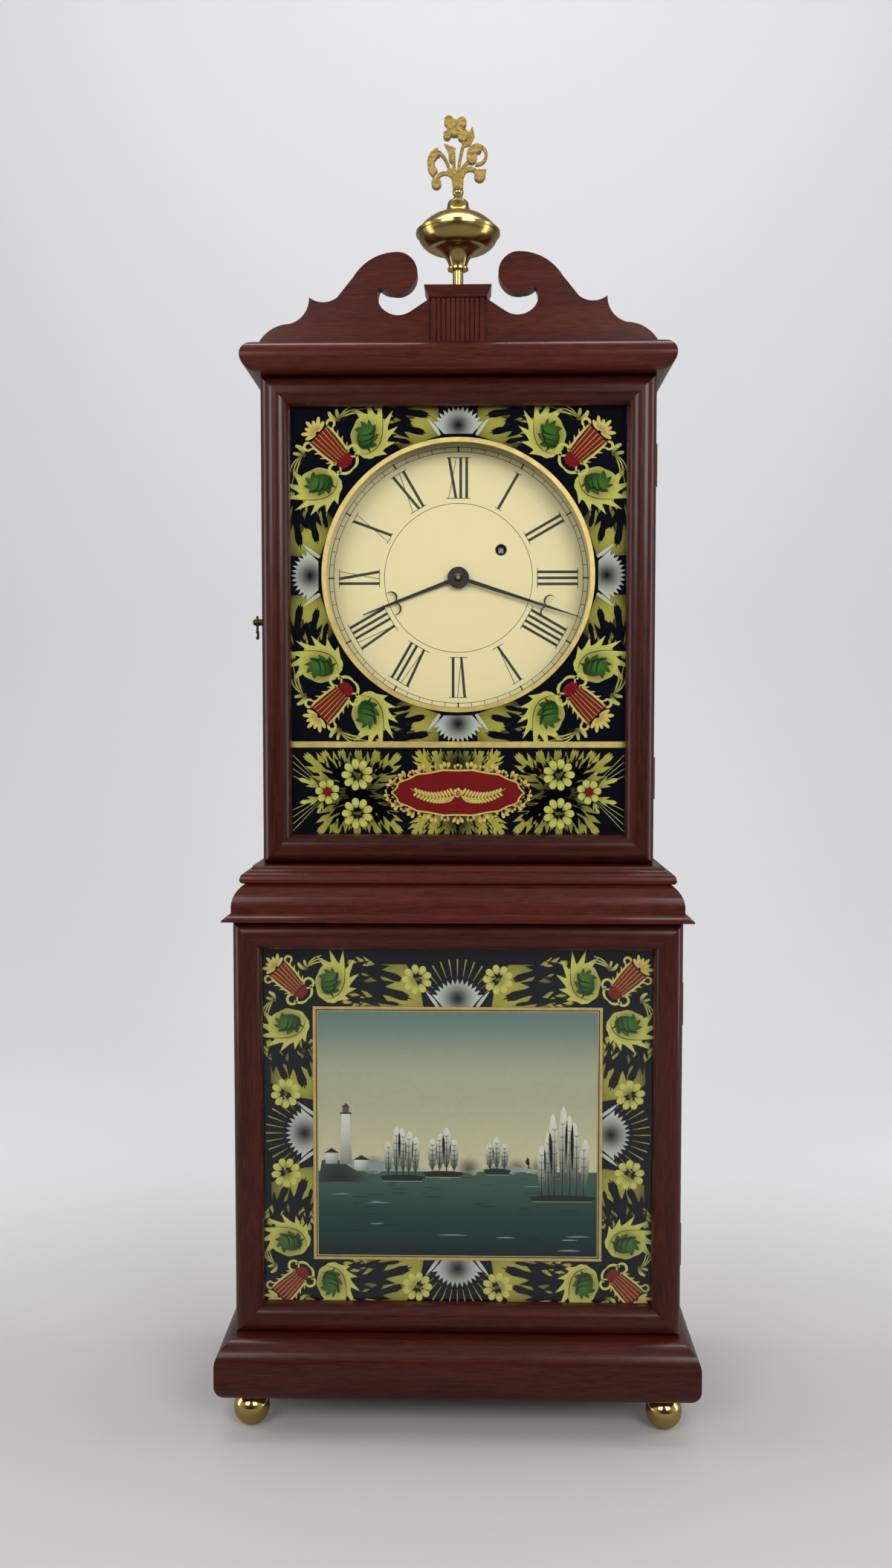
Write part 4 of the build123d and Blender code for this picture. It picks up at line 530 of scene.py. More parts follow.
@dataclass
class Canvas:
    """A plane of painted shapes, just behind a pane or on the dial."""

    name: str
    depth: float
    level: float
    body: str
    half_width: float = 1000.0
    low: float = -1000.0
    high: float = 1000.0
    keep_out: float = 0.0
    layer_step: float = 0.04
    fineness: float = 4.0
    forward: int = -1
    vertices: list[Spot] = field(default_factory=list)
    faces: list[tuple[int, int, int]] = field(default_factory=list)
    colours: list[Colour] = field(default_factory=list)

    def kept(self, point: Point) -> Point:
        """Return the point, moved to stay inside the panel and outside the dial opening.

        Args:
            point: place across and up in the panel.

        Returns:
            The place that is kept.
        """
        across, up = point
        far = math.hypot(across, up)
        if 0 < far < self.keep_out:
            across *= self.keep_out / far
            up *= self.keep_out / far
        across = min(max(across, -self.half_width), self.half_width)
        return across, min(max(up, self.low), self.high)

    def split(self, corners: tuple[Point, ...], shape: Shape, place: Place, depth: float,
              seen: dict[Point, int]) -> None:
        """Add a triangle, cut in two until its sides are short enough for its wash.

        Args:
            corners: the triangle in the motif's plane.
            shape: the shape that it belongs to.
            place: where the motif lies.
            depth: place of the paint film from front to back.
            seen: vertex numbers by place, for this shape.
        """
        sides = [math.dist(corners[n], corners[(n + 1) % 3]) for n in range(3)]
        longest = max(range(3), key=lambda n: sides[n])
        if sides[longest] * place.size > self.fineness and shape.wash.near is not shape.wash.far:
            a, b, c = (corners[(longest + n) % 3] for n in range(3))
            middle = ((a[0] + b[0]) / 2, (a[1] + b[1]) / 2)
            self.split((a, middle, c), shape, place, depth, seen)
            self.split((middle, b, c), shape, place, depth, seen)
            return
        numbers = []
        for corner in corners:
            key = (round(corner[0], 4), round(corner[1], 4))
            if key not in seen:
                across, up = self.kept(place.put(corner))
                seen[key] = len(self.vertices)
                self.vertices.append((across * MM, depth * MM, (self.level + up) * MM))
                self.colours.append(shape.wash.at(corner))
            numbers.append(seen[key])
        if len(set(numbers)) == 3:
            self.faces.append(tuple(numbers))

    def draw(self, shapes: list[Shape], place: Place = Place(), over: int = 0) -> None:
        """Add shapes.

        Args:
            shapes: outlines of one motif.
            place: where the motif lies.
            over: number of layers that it is raised over its own.
        """
        for shape in shapes:
            depth = self.depth + self.forward * self.layer_step * (shape.layer + over)
            loops = [[Vector((x, y, 0)) for x, y in loop] for loop in (shape.outline, *shape.holes)]
            points = [point for loop in loops for point in loop]
            seen: dict[Point, int] = {}
            for corners in tessellate_polygon(loops):
                flat = tuple((points[n].x, points[n].y) for n in corners)
                self.split(flat, shape, place, depth, seen)

    def build(self, material: bpy.types.Material) -> bpy.types.Object:
        """Make the mesh with its colours.

        Args:
            material: finish that reads the colours.

        Returns:
            The new object, riding on its body.
        """
        mesh = bpy.data.meshes.new(self.name)
        mesh.from_pydata(self.vertices, [], self.faces)
        layer = mesh.color_attributes.new("Paint", "FLOAT_COLOR", "POINT")
        layer.data.foreach_set("color", [value for c in self.colours for value in (*c, 1.0)])
        mesh.materials.append(material)
        mesh.update()
        piece = add_object(self.name, mesh)
        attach(piece, self.body)
        LOG.info("%s: %d shapes' faces", self.name, len(self.faces))
        return piece


class Nodes:
    """Builds shader node trees with few words."""

    def __init__(self, tree: bpy.types.NodeTree) -> None:
        """Keep the tree and empty it."""
        self.tree = tree
        self.tree.nodes.clear()

    def add(self, kind: str, **settings: object) -> bpy.types.Node:
        """Add a node; a setting named after an attribute sets it, and others set input sockets.

        Args:
            kind: type name of the node.
            settings: attributes, and sockets with their spaces as underscores.

        Returns:
            The new node.
        """
        node = self.tree.nodes.new(kind)
        for name, value in settings.items():
            if hasattr(node, name):
                setattr(node, name, value)
            else:
                node.inputs[name.replace("_", " ")].default_value = value
        return node

    def join(self, source: bpy.types.Node, output: str | int, target: bpy.types.Node,
             into: str | int) -> None:
        """Link an output of one node to an input of another."""
        self.tree.links.new(source.outputs[output], target.inputs[into])


def add_object(name: str, data: bpy.types.ID) -> bpy.types.Object:
    """Return a new object of the scene."""
    piece = bpy.data.objects.new(name, data)
    bpy.context.scene.collection.objects.link(piece)
    return piece


def new_material(name: str) -> tuple[bpy.types.Material, Nodes, bpy.types.Node]:
    """Return a new material, its nodes and its output node.

    Args:
        name: the material's name.

    Returns:
        The material, the builder of its nodes, and the output that its surface goes to.
    """
    material = bpy.data.materials.new(name)
    material.use_nodes = True
    nodes = Nodes(material.node_tree)
    return material, nodes, nodes.add("ShaderNodeOutputMaterial")


def make_group(name: str, inputs: dict[str, tuple], outputs: dict[str, str]) -> Nodes:
    """Return the nodes of a new group.

    Args:
        name: name of the group.
        inputs: socket type and default value by name.
        outputs: socket type by name.

    Returns:
        Nodes with a group input named In and a group output named Out.
    """
    tree = bpy.data.node_groups.new(name, "ShaderNodeTree")
    nodes = Nodes(tree)
    for title, (kind, value) in inputs.items():
        tree.interface.new_socket(title, in_out="INPUT", socket_type=kind).default_value = value
    for title, kind in outputs.items():
        tree.interface.new_socket(title, in_out="OUTPUT", socket_type=kind)
    nodes.add("NodeGroupInput").name = "In"
    nodes.add("NodeGroupOutput").name = "Out"
    return nodes


def wood_grain_group() -> bpy.types.NodeTree:
    """Return the group that turns a stretched place into grain colour, height and roughness.

    Returns:
        The group's node tree.
    """
    nodes = make_group(
        "Wood grain",
        {
            "Place": ("NodeSocketVector", (0, 0, 0)),
            "Dark": ("NodeSocketColor", (0, 0, 0, 1)),
            "Light": ("NodeSocketColor", (1, 1, 1, 1)),
            "Polish": ("NodeSocketFloat", 0.3),
        },
        {"Color": "NodeSocketColor", "Height": "NodeSocketFloat", "Roughness": "NodeSocketFloat"},
    )
    start = nodes.tree.nodes["In"]
    end = nodes.tree.nodes["Out"]
    fine = nodes.add("ShaderNodeTexNoise", Scale=42.0, Detail=6.0, Roughness=0.62, Distortion=0.25)
    broad = nodes.add("ShaderNodeTexNoise", Scale=3.2, Detail=3.0, Roughness=0.5, Distortion=0.6)
    blend = nodes.add("ShaderNodeMath", operation="MULTIPLY_ADD")
    blend.inputs[1].default_value = 0.68
    fade = nodes.add("ShaderNodeMath", operation="MULTIPLY")
    fade.inputs[1].default_value = 0.32
    spread = nodes.add("ShaderNodeMapRange", From_Min=0.34, From_Max=0.66)
    tint = nodes.add("ShaderNodeMix", data_type="RGBA")
    rough = nodes.add("ShaderNodeMath", operation="MULTIPLY_ADD")
    rough.inputs[1].default_value = 0.08
    for texture in (fine, broad):
        nodes.join(start, "Place", texture, "Vector")
    nodes.join(broad, 0, fade, 0)
    nodes.join(fine, 0, blend, 0)
    nodes.join(fade, 0, blend, 2)
    nodes.join(blend, 0, spread, "Value")
    nodes.join(spread, 0, tint, "Factor")
    nodes.join(start, "Dark", tint, "A")
    nodes.join(start, "Light", tint, "B")
    nodes.join(fine, 0, rough, 0)
    nodes.join(start, "Polish", rough, 2)
    nodes.join(tint, "Result", end, "Color")
    nodes.join(fine, 0, end, "Height")
    nodes.join(rough, 0, end, "Roughness")
    return nodes.tree


def handling_group() -> bpy.types.NodeTree:
    """Return the group that varies a surface a little, as touch and brushwork do.

    Returns:
        The group's node tree.
    """
    nodes = make_group(
        "Handling",
        {
            "Color": ("NodeSocketColor", (1, 1, 1, 1)),
            "Roughness": ("NodeSocketFloat", 0.3),
            "Scale": ("NodeSocketFloat", 60.0),
            "Amount": ("NodeSocketFloat", 0.1),
        },
        {"Color": "NodeSocketColor", "Roughness": "NodeSocketFloat", "Height": "NodeSocketFloat"},
    )
    start = nodes.tree.nodes["In"]
    end = nodes.tree.nodes["Out"]
    place = nodes.add("ShaderNodeTexCoord")
    noise = nodes.add("ShaderNodeTexNoise", Detail=4.0, Roughness=0.55)
    centred = nodes.add("ShaderNodeMath", operation="SUBTRACT")
    centred.inputs[1].default_value = 0.5
    scaled = nodes.add("ShaderNodeMath", operation="MULTIPLY")
    lift = nodes.add("ShaderNodeMath", operation="ADD")
    lift.inputs[1].default_value = 1.0
    shade = nodes.add("ShaderNodeVectorMath", operation="SCALE")
    rough = nodes.add("ShaderNodeMath", operation="MULTIPLY")
    nodes.join(place, "Object", noise, "Vector")
    nodes.join(start, "Scale", noise, "Scale")
    nodes.join(noise, 0, centred, 0)
    nodes.join(centred, 0, scaled, 0)
    nodes.join(start, "Amount", scaled, 1)
    nodes.join(scaled, 0, lift, 0)
    nodes.join(start, "Color", shade, 0)
    nodes.join(lift, 0, shade, "Scale")
    nodes.join(start, "Roughness", rough, 0)
    nodes.join(lift, 0, rough, 1)
    nodes.join(shade, 0, end, "Color")
    nodes.join(rough, 0, end, "Roughness")
    nodes.join(noise, 0, end, "Height")
    return nodes.tree


WOOD_GRAIN = wood_grain_group()
HANDLING = handling_group()


@dataclass(frozen=True)
class Finish:
    """A plain surface: metal, paint, iron or cord."""

    name: str
    colour: Colour
    roughness: float
    metallic: float = 0.0
    coat: float = 0.0
    variation: float = 0.25
    fineness: float = 60.0
    bump: float = 0.0
    relief: float = 0.0004
    gloss: float = 0.5
    painted: bool = False

    def make(self) -> bpy.types.Material:
        """Return the material; a painted one takes its colour from the mesh.

        Returns:
            The new material.
        """
        material, nodes, out = new_material(self.name)
        surface = nodes.add("ShaderNodeBsdfPrincipled", Metallic=self.metallic, Coat_Weight=self.coat,
                            Coat_Roughness=0.08, Specular_IOR_Level=self.gloss)
        touch = nodes.add("ShaderNodeGroup", node_tree=HANDLING)
        touch.inputs["Color"].default_value = (*self.colour, 1.0)
        touch.inputs["Roughness"].default_value = self.roughness
        touch.inputs["Scale"].default_value = self.fineness
        touch.inputs["Amount"].default_value = self.variation
        if self.painted:
            paint = nodes.add("ShaderNodeAttribute", attribute_name="Paint")
            nodes.join(paint, "Color", touch, "Color")
        nodes.join(touch, "Color", surface, "Base Color")
        nodes.join(touch, "Roughness", surface, "Roughness")
        if self.bump:
            bump = nodes.add("ShaderNodeBump", Strength=self.bump, Distance=self.relief)
            nodes.join(touch, "Height", bump, "Height")
            nodes.join(bump, "Normal", surface, "Normal")
        nodes.join(surface, 0, out, "Surface")
        return material


@dataclass(frozen=True)
class Wood:
    """Polished or raw wood with its grain along one axis."""

    name: str
    dark: Colour
    light: Colour
    grain: Grain
    polish: float = 0.26
    coat: float = 0.30

    def make(self) -> bpy.types.Material:
        """Return the material.

        Returns:
            The new material.
        """
        material, nodes, out = new_material(self.name)
        surface = nodes.add("ShaderNodeBsdfPrincipled", Coat_Weight=self.coat, Coat_Roughness=0.14,
                            Specular_IOR_Level=0.25)
        place = nodes.add("ShaderNodeTexCoord")
        stretch = nodes.add("ShaderNodeMapping", Scale=self.grain.value)
        grain = nodes.add("ShaderNodeGroup", node_tree=WOOD_GRAIN)
        grain.inputs["Dark"].default_value = (*self.dark, 1.0)
        grain.inputs["Light"].default_value = (*self.light, 1.0)
        grain.inputs["Polish"].default_value = self.polish
        bump = nodes.add("ShaderNodeBump", Strength=0.06, Distance=0.0003)
        nodes.join(place, "Object", stretch, "Vector")
        nodes.join(stretch, 0, grain, "Place")
        nodes.join(grain, "Color", surface, "Base Color")
        nodes.join(grain, "Roughness", surface, "Roughness")
        nodes.join(grain, "Height", bump, "Height")
        nodes.join(bump, "Normal", surface, "Normal")
        nodes.join(surface, 0, out, "Surface")
        return material


@dataclass(frozen=True)
class Pane:
    """Clear glass that lets the lamps through to what lies behind it."""

    name: str = "Window glass"
    tint: Colour = (0.97, 0.985, 0.975)

    def make(self) -> bpy.types.Material:
        """Return the material.

        Returns:
            The new material.
        """
        material, nodes, out = new_material(self.name)
        glass = nodes.add("ShaderNodeBsdfPrincipled", Roughness=0.0, IOR=1.45)
        glass.inputs["Base Color"].default_value = (*self.tint, 1.0)
        glass.inputs["Transmission Weight"].default_value = 1.0
        clear = nodes.add("ShaderNodeBsdfTransparent")
        path = nodes.add("ShaderNodeLightPath")
        choose = nodes.add("ShaderNodeMixShader")
        nodes.join(path, "Is Shadow Ray", choose, 0)
        nodes.join(glass, 0, choose, 1)
        nodes.join(clear, 0, choose, 2)
        nodes.join(choose, 0, out, "Surface")
        return material


PAINTED_GLASS = Finish("Glass painting", (1, 1, 1), 0.5, variation=0.14, fineness=420.0, gloss=0.0,
                       painted=True)
GILDING = Finish("Gilding", (0.78, 0.58, 0.20), 0.34, metallic=0.75, variation=0.5, fineness=160.0)
PRINT = Finish("Dial print", Paint.PRINT_BLACK.value, 0.55, variation=0.1, painted=True)


@dataclass
class CaseDress:
    """Finishes of every modelled piece of the case, the doors and the movement."""

    dark: Colour = (0.022, 0.0036, 0.0022)
    light: Colour = (0.088, 0.0135, 0.0070)
    bright_dark: Colour = (0.038, 0.0058, 0.0032)
    bright_light: Colour = (0.132, 0.0215, 0.0100)
    upright: tuple[str, ...] = ("lower_sides", "upper_sides", "upper_door_stiles", "lower_door_stiles")
    across: tuple[str, ...] = ("upper_door_rails", "lower_door_rails", "base_front_moulding")
    deep: tuple[str, ...] = ("base_side_mouldings",)
    bright_across: tuple[str, ...] = ("waist_front_moulding", "cornice_front", "scroll_boards",
                                      "plinth_cap", "top_board", "base_board", "waist_frame",
                                      "base_blocks")
    bright_upright: tuple[str, ...] = ("finial_plinth", "upper_glass_beads", "lower_glass_beads")
    bright_deep: tuple[str, ...] = ("waist_side_mouldings", "cornice_sides")
    raw: tuple[str, ...] = ("upper_backboard", "lower_backboard")
    bright_brass: tuple[str, ...] = ("ball_feet", "pendulum_bob", "hand_collet")
    cast_brass: tuple[str, ...] = ("finial_spray",)
    old_brass: tuple[str, ...] = ("finial_bowl", "finial_lid")
    aged_brass: tuple[str, ...] = ("front_plate", "back_plate", "movement_pillars",
                                   "pendulum_bridge", "pendulum_rod", "rating_nut", "great_wheel",
                                   "third_wheel", "centre_wheel", "escape_wheel", "minute_wheel",
                                   "hour_wheel", "weight_pulley")
    steel: tuple[str, ...] = ("cannon_pinion", "winding_drum", "verge", "ratchet_click")
    # hinge, latch and catch brass made nearly black: painted shade, so they sink into the shaded gaps round
    # the doors
    shade_dark_brass: tuple[str, ...] = ("latch_hook", "hook_screw", "catch_pin", "case_hinges",
                                   "upper_hinge_leaves", "lower_hinge_leaves")
    black: tuple[str, ...] = ("hour_hand", "minute_hand")

    def dress(self) -> None:
        """Give every modelled piece its finish."""
        dark, light = self.dark, self.light
        warm_dark, warm_light = self.bright_dark, self.bright_light
        plan = (
            (self.upright, Wood("Mahogany, upright", dark, light, Grain.UPRIGHT)),
            (self.across, Wood("Mahogany, across", dark, light, Grain.ACROSS)),
            (self.deep, Wood("Mahogany, front to back", dark, light, Grain.DEEP)),
            (self.bright_across, Wood("Red mahogany, across", warm_dark, warm_light, Grain.ACROSS)),
            (self.bright_upright, Wood("Red mahogany, upright", warm_dark, warm_light, Grain.UPRIGHT)),
            (self.bright_deep, Wood("Red mahogany, deep", warm_dark, warm_light, Grain.DEEP)),
            (self.raw, Wood("Raw pine", (0.24, 0.13, 0.06), (0.46, 0.29, 0.15), Grain.UPRIGHT, 0.7, 0.0)),
            (self.bright_brass, Finish("Polished brass", (0.86, 0.60, 0.20), 0.10, 1.0)),
            (self.cast_brass, Finish("Cast brass", (0.72, 0.50, 0.15), 0.22, 1.0, fineness=330.0, bump=1.0,
                                     relief=0.004)),
            (self.old_brass, Finish("Lacquered brass", (0.56, 0.41, 0.14), 0.2, 1.0, fineness=30.0)),
            (self.aged_brass, Finish("Aged brass", (0.62, 0.44, 0.17), 0.3, 1.0)),
            (self.steel, Finish("Turned steel", (0.5, 0.5, 0.51), 0.28, 1.0)),
            # painted shade: nearly black brass for the hinges and latch
            (self.shade_dark_brass, Finish("Brass darkened as painted shade", (0.09, 0.06, 0.03), 0.38, 1.0)),
            (self.black, Finish("Blacked steel", (0.012, 0.012, 0.014), 0.4, 0.2)),
            (("weight",), Finish("Cast iron", (0.05, 0.05, 0.052), 0.62, 0.6, bump=0.5)),
            (("weight_cord",), Finish("Gut cord", (0.42, 0.33, 0.2), 0.6, bump=0.4, fineness=900.0)),
            (("dial",), Finish("Dial cream", (0.76, 0.66, 0.35), 0.48, variation=0.05, fineness=24.0)),
            (("upper_door_glass", "lower_door_glass"), Pane()),
        )
        for names, finish in plan:
            material = finish.make()
            for name in names:
                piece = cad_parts[name]
                piece.data.materials.clear()
                piece.data.materials.append(material)
                LOG.info("%s: %s", name, finish.name)


@dataclass
class WeightLine:
    """The gut line: a copy of the cord's tube, standing where the cord is."""

    name: str = "gut_line"
    body: str = "case"
    weight: str = "weight_body"

    def build(self) -> None:
        """Stand a copy of the cord's tube in its place and hide the cord itself."""
        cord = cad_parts["weight_cord"]
        piece = add_object(self.name, cord.data.copy())
        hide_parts("weight_cord")
        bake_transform(piece)


@dataclass
class Painting:
    """A painting behind a pane, on the panel that the pane's beads leave open."""

    glass: str
    body: str
    behind: float = 0.7
    bead: float = 5.0
    edge: float = 0.4

    def measure(self, level: float) -> None:
        """Read the panel from the frame.

        Args:
            level: height that the painting's own heights are counted from.
        """
        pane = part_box(self.glass)
        inside = self.bead + self.edge
        self.depth = pane[1].y / MM + self.behind
        self.level = level
        self.half_width = pane[1].x / MM - inside
        self.low = pane[0].z / MM + inside - level
        self.high = pane[1].z / MM - inside - level

    def canvas(self, name: str, shift: float = 0.0, keep_out: float = 0.0) -> Canvas:
        """Return an empty canvas behind the pane."""
        return Canvas(name, self.depth + shift, self.level, self.body, self.half_width, self.low,
                      self.high, keep_out)


@dataclass
class UpperGlass(Painting):
    """Painting behind the upper pane: border round the dial opening, and the tablet below it."""

    glass: str = "upper_door_glass"
    body: str = "upper_door"
    ring_inner: float = 93.4
    ring_outer: float = 96.7
    opening: float = 95.4
    divider_low: float = -121.8
    divider_high: float = -117.5
    fan_height: float = 19.5
    leaf_size: float = 21.5
    leaf_turn: float = -8.0
    lyre_size: float = 21.0
    cartouche_half_width: float = 46.5
    cartouche_half_height: float = 16.0
    cartouche_level: float = -154.0
    daisy_spots: tuple[Spot, ...] = ((-71.8, -141.2, 11.4), (-71.8, -168.8, 11.2))
    red_daisy: Spot = (-93.2, -153.4, 8.8)

    def __post_init__(self) -> None:
        """Count heights from the middle of the hands."""
        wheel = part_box("hour_wheel")
        self.measure((wheel[0].z + wheel[1].z) / 2 / MM)

    def ground(self) -> list[Shape]:
        """Return the dark ground with the round opening for the dial."""
        outline = rectangle(self.half_width, self.low, self.high)
        return [Shape(outline, plain(Paint.GROUND), 0, [circle(self.opening)])]

    def border(self, canvas: Canvas) -> None:
        """Paint fans, leaves and lyres round the dial opening.

        Args:
            canvas: canvas to paint on.
        """
        glow = Wash(Paint.OLIVE, Paint.GROUND, (-27, 106), 27)
        tips = Wash(Paint.GROUND, Paint.OLIVE, (-34, 106), 20)
        dark = plain(Paint.GROUND)
        sprays = [
            Shape([(-14, 119), (-13, 98), (-26, 93.5), (-40, 88), (-58, 104), (-56, 119)], glow, 1),
            *leaves([((-30, 111), (-42, 118), (-60, 117.5), 13, 4),
                     ((-32, 103), (-42, 106), (-55, 110), 11, 4),
                     ((-36, 95), (-44, 97), (-56, 99), 8, 3)], tips, 2),
            *leaves([((-58, 113), (-42, 117), (-18, 111), 13, 3),
                     ((-58, 104), (-42, 105), (-21, 99), 12, 3),
                     ((-54, 96), (-44, 96), (-31, 92), 7, 2)], dark, 3),
        ]
        stalks = []
        for number in range(3):
            end = (-63 - 3.4 * number, 117.5 - 0.6 * number)
            wash = Wash(Paint.DARK_OLIVE, Paint.OLIVE, (-84, 108), 20)
            stalks.append(Shape(brush(curve((-82, 108), (-76, 115), end), 0.3, 0.7), wash, 1))
        for place in Place().fourfold():
            canvas.draw(sprays + stalks, place)
            canvas.draw(sprays + stalks, self.swapped(place))
        leaf = Place(-62.5, 97.5, self.leaf_turn)
        for place in leaf.fourfold() + leaf.across_corner().fourfold():
            canvas.draw(curled_leaf(self.leaf_size), place, 3)
        for place in Place(-88.0, 88.5, 45).fourfold():
            canvas.draw(lyre(self.lyre_size), place, 4)
        twig = Place(-84, 109, 10)
        for place in twig.fourfold() + twig.across_corner().fourfold():
            canvas.draw(sprig(8.0), place, 3)
        for place in (Place(0, 99.0), Place(0, -99.0, 180), Place(-99.0, 0, 90), Place(99.0, 0, -90)):
            canvas.draw(silver_fan(self.fan_height), place, 3)

    @staticmethod
    def swapped(place: Place) -> Place:
        """Return the place turned so that a top motif lies along the side."""
        return Place(place.x, place.y, place.turn + 90, place.size, not place.flipped).across_upright()

    def tablet(self, canvas: Canvas) -> None:
        """Paint leaf sprays and daisies on both sides of the cartouche.

        Args:
            canvas: canvas to paint on.
        """
        spray = Wash(Paint.GROUND, Paint.OLIVE, (-72, -155), 44)
        ends = ((-110, -126.0), (-97, -124.0), (-84, -123.0), (-71, -123.0), (-57, -123.5), (-41, -126.0),
                (-47, -135), (-100, -184), (-88, -184), (-72, -184.5), (-56, -184), (-40, -183.5),
                (-46, -174))
        fan = leaves([((-72, -154), (-72 + (x + 72) * 0.55, -154 + (y + 154) * 0.45), (x, y), 17, 5)
                      for x, y in ends], spray, 1)
        over = Wash(Paint.GROUND, Paint.OLIVE, (0, -134), 24)
        under = Wash(Paint.GROUND, Paint.OLIVE, (0, -174), 24)
        tops = leaves([((x * 0.6, -139), (x * 0.9, -130), (x, -124.0), 12, 4)
                       for x in (-6, -17, -29)], over, 1)
        feet = leaves([((x * 0.6, -170), (x * 0.9, -178), (x, -184), 12, 4)
                       for x in (-8, -20, -32)], under, 1)
        side = Wash(Paint.DARK_OLIVE, Paint.PALE_OLIVE, (-92, -153), 22)
        small = leaves([((-100, -150), (-106, -146), (-115, -144), 6, 2),
                        ((-100, -158), (-106, -161), (-114, -161), 6, 2),
                        ((-97, -146), (-97, -142), (-99, -138.5), 4, 2),
                        ((-97, -161), (-98, -166), (-101, -169), 4, 2)], side, 2)
        rays = []
        for number in range(4):
            for end in ((-118, -127 - 5.0 * number), (-118, -181.5 + 5.0 * number)):
                rays.append(Shape(brush([(-92, -154), end], 0.1, 0.45), side, 1))
        for place in (Place(), Place().across_upright()):
            canvas.draw(fan + tops + feet + small + rays, place)
            for x, y, radius in self.daisy_spots:
                canvas.draw(daisy(radius), self.beside(x, y, place))
            x, y, radius = self.red_daisy
            canvas.draw(daisy(radius, 7, Paint.CARTOUCHE_RED), self.beside(x, y, place))

    @staticmethod
    def beside(x: float, y: float, place: Place) -> Place:
        """Return a spot of the tablet, on the same side as the place."""
        return Place(x, y).across_upright() if place.flipped else Place(x, y)

    def oval(self, grow: float, count: int = 120) -> list[Point]:
        """Return the scalloped outline of the cartouche, grown by a distance.

        Args:
            grow: distance that is added to both half sizes.
            count: number of points.

        Returns:
            The closed outline.
        """
        outline = []
        for number in range(count):
            turn = 2 * math.pi * number / count
            scallop = 1 - 0.045 * abs(math.sin(turn * 7))
            outline.append(((self.cartouche_half_width + grow) * scallop * math.cos(turn),
                            (self.cartouche_half_height + grow) * scallop * math.sin(turn)))
        return outline

    def cartouche(self, canvas: Canvas) -> None:
        """Paint the deep red oval with its gilt leaf edge and a leaf sprig inside.

        Args:
            canvas: canvas to paint on.
        """
        place = Place(0, self.cartouche_level)
        gilt = Wash(Paint.GILT, Paint.SHADED_GILT, (0, 24), 46, True)
        red = plain(Paint.CARTOUCHE_RED)
        canvas.draw([Shape(self.oval(1.2), gilt, 5), Shape(self.oval(0.0), red, 6)], place)
        for number in range(34):
            turn = 2 * math.pi * (number + 0.5) / 34
            x = (self.cartouche_half_width + 0.6) * math.cos(turn)
            y = (self.cartouche_half_height + 0.4) * math.sin(turn)
            out = math.degrees(math.atan2(y * 2.4, x)) - 90
            leaf = Wash(Paint.SHADED_GILT, Paint.GILT, (0, 0), 5.0)
            shapes = [Shape(petal(0.0, 6.2 if number % 2 else 4.4, 3.2, angle), leaf, 4)
                      for angle in (52, 90, 128)]
            canvas.draw(shapes, Place(x, self.cartouche_level + y, out))
        pale = Wash(Paint.GILT, Paint.PALE_OLIVE, (0, 0), 30)
        for hand in (False, True):
            stem = curve((0, -1.5), (16, -8.0), (34, 3.0), 14)
            shapes = [Shape(brush(stem, 0.8, 0.3), pale, 7)]
            for number in range(1, 13):
                x, y = stem[number]
                for angle in (58, -42):
                    leaf = [(x + px, y + py) for px, py in petal(0.2, 6.8 - 0.26 * number, 2.1, angle)]
                    shapes.append(Shape(leaf, pale, 7))
            canvas.draw(shapes, Place(0, self.cartouche_level, 0, 1, hand))
        canvas.draw([Shape(x.outline, pale, 7) for x in daisy(3.4, 6)], place)

    def gilding(self) -> Canvas:
        """Return the canvas of the gold ring round the opening and the band under it.

        Returns:
            The painted canvas.
        """
        canvas = self.canvas("gold_ring_and_band", -0.6)
        canvas.draw([Shape(circle(self.ring_outer), plain(Paint.GILT), 0, [circle(self.ring_inner)])])
        band = rectangle(self.half_width, self.divider_low, self.divider_high)
        canvas.draw([Shape(band, plain(Paint.GILT), 0)])
        return canvas

    def build(self) -> None:
        """Make the upper painting."""
        paint = PAINTED_GLASS.make()
        ground = self.canvas("upper_painted_ground")
        ground.draw(self.ground())
        ground.build(paint)
        border = self.canvas("upper_painted_border", keep_out=self.opening)
        border.low = self.divider_low
        self.border(border)
        border.build(paint)
        tablet = self.canvas("upper_painted_tablet")
        tablet.high = self.divider_high
        self.tablet(tablet)
        tablet.build(paint)
        oval = self.canvas("upper_painted_cartouche")
        self.cartouche(oval)
        oval.build(paint)
        self.gilding().build(GILDING.make())


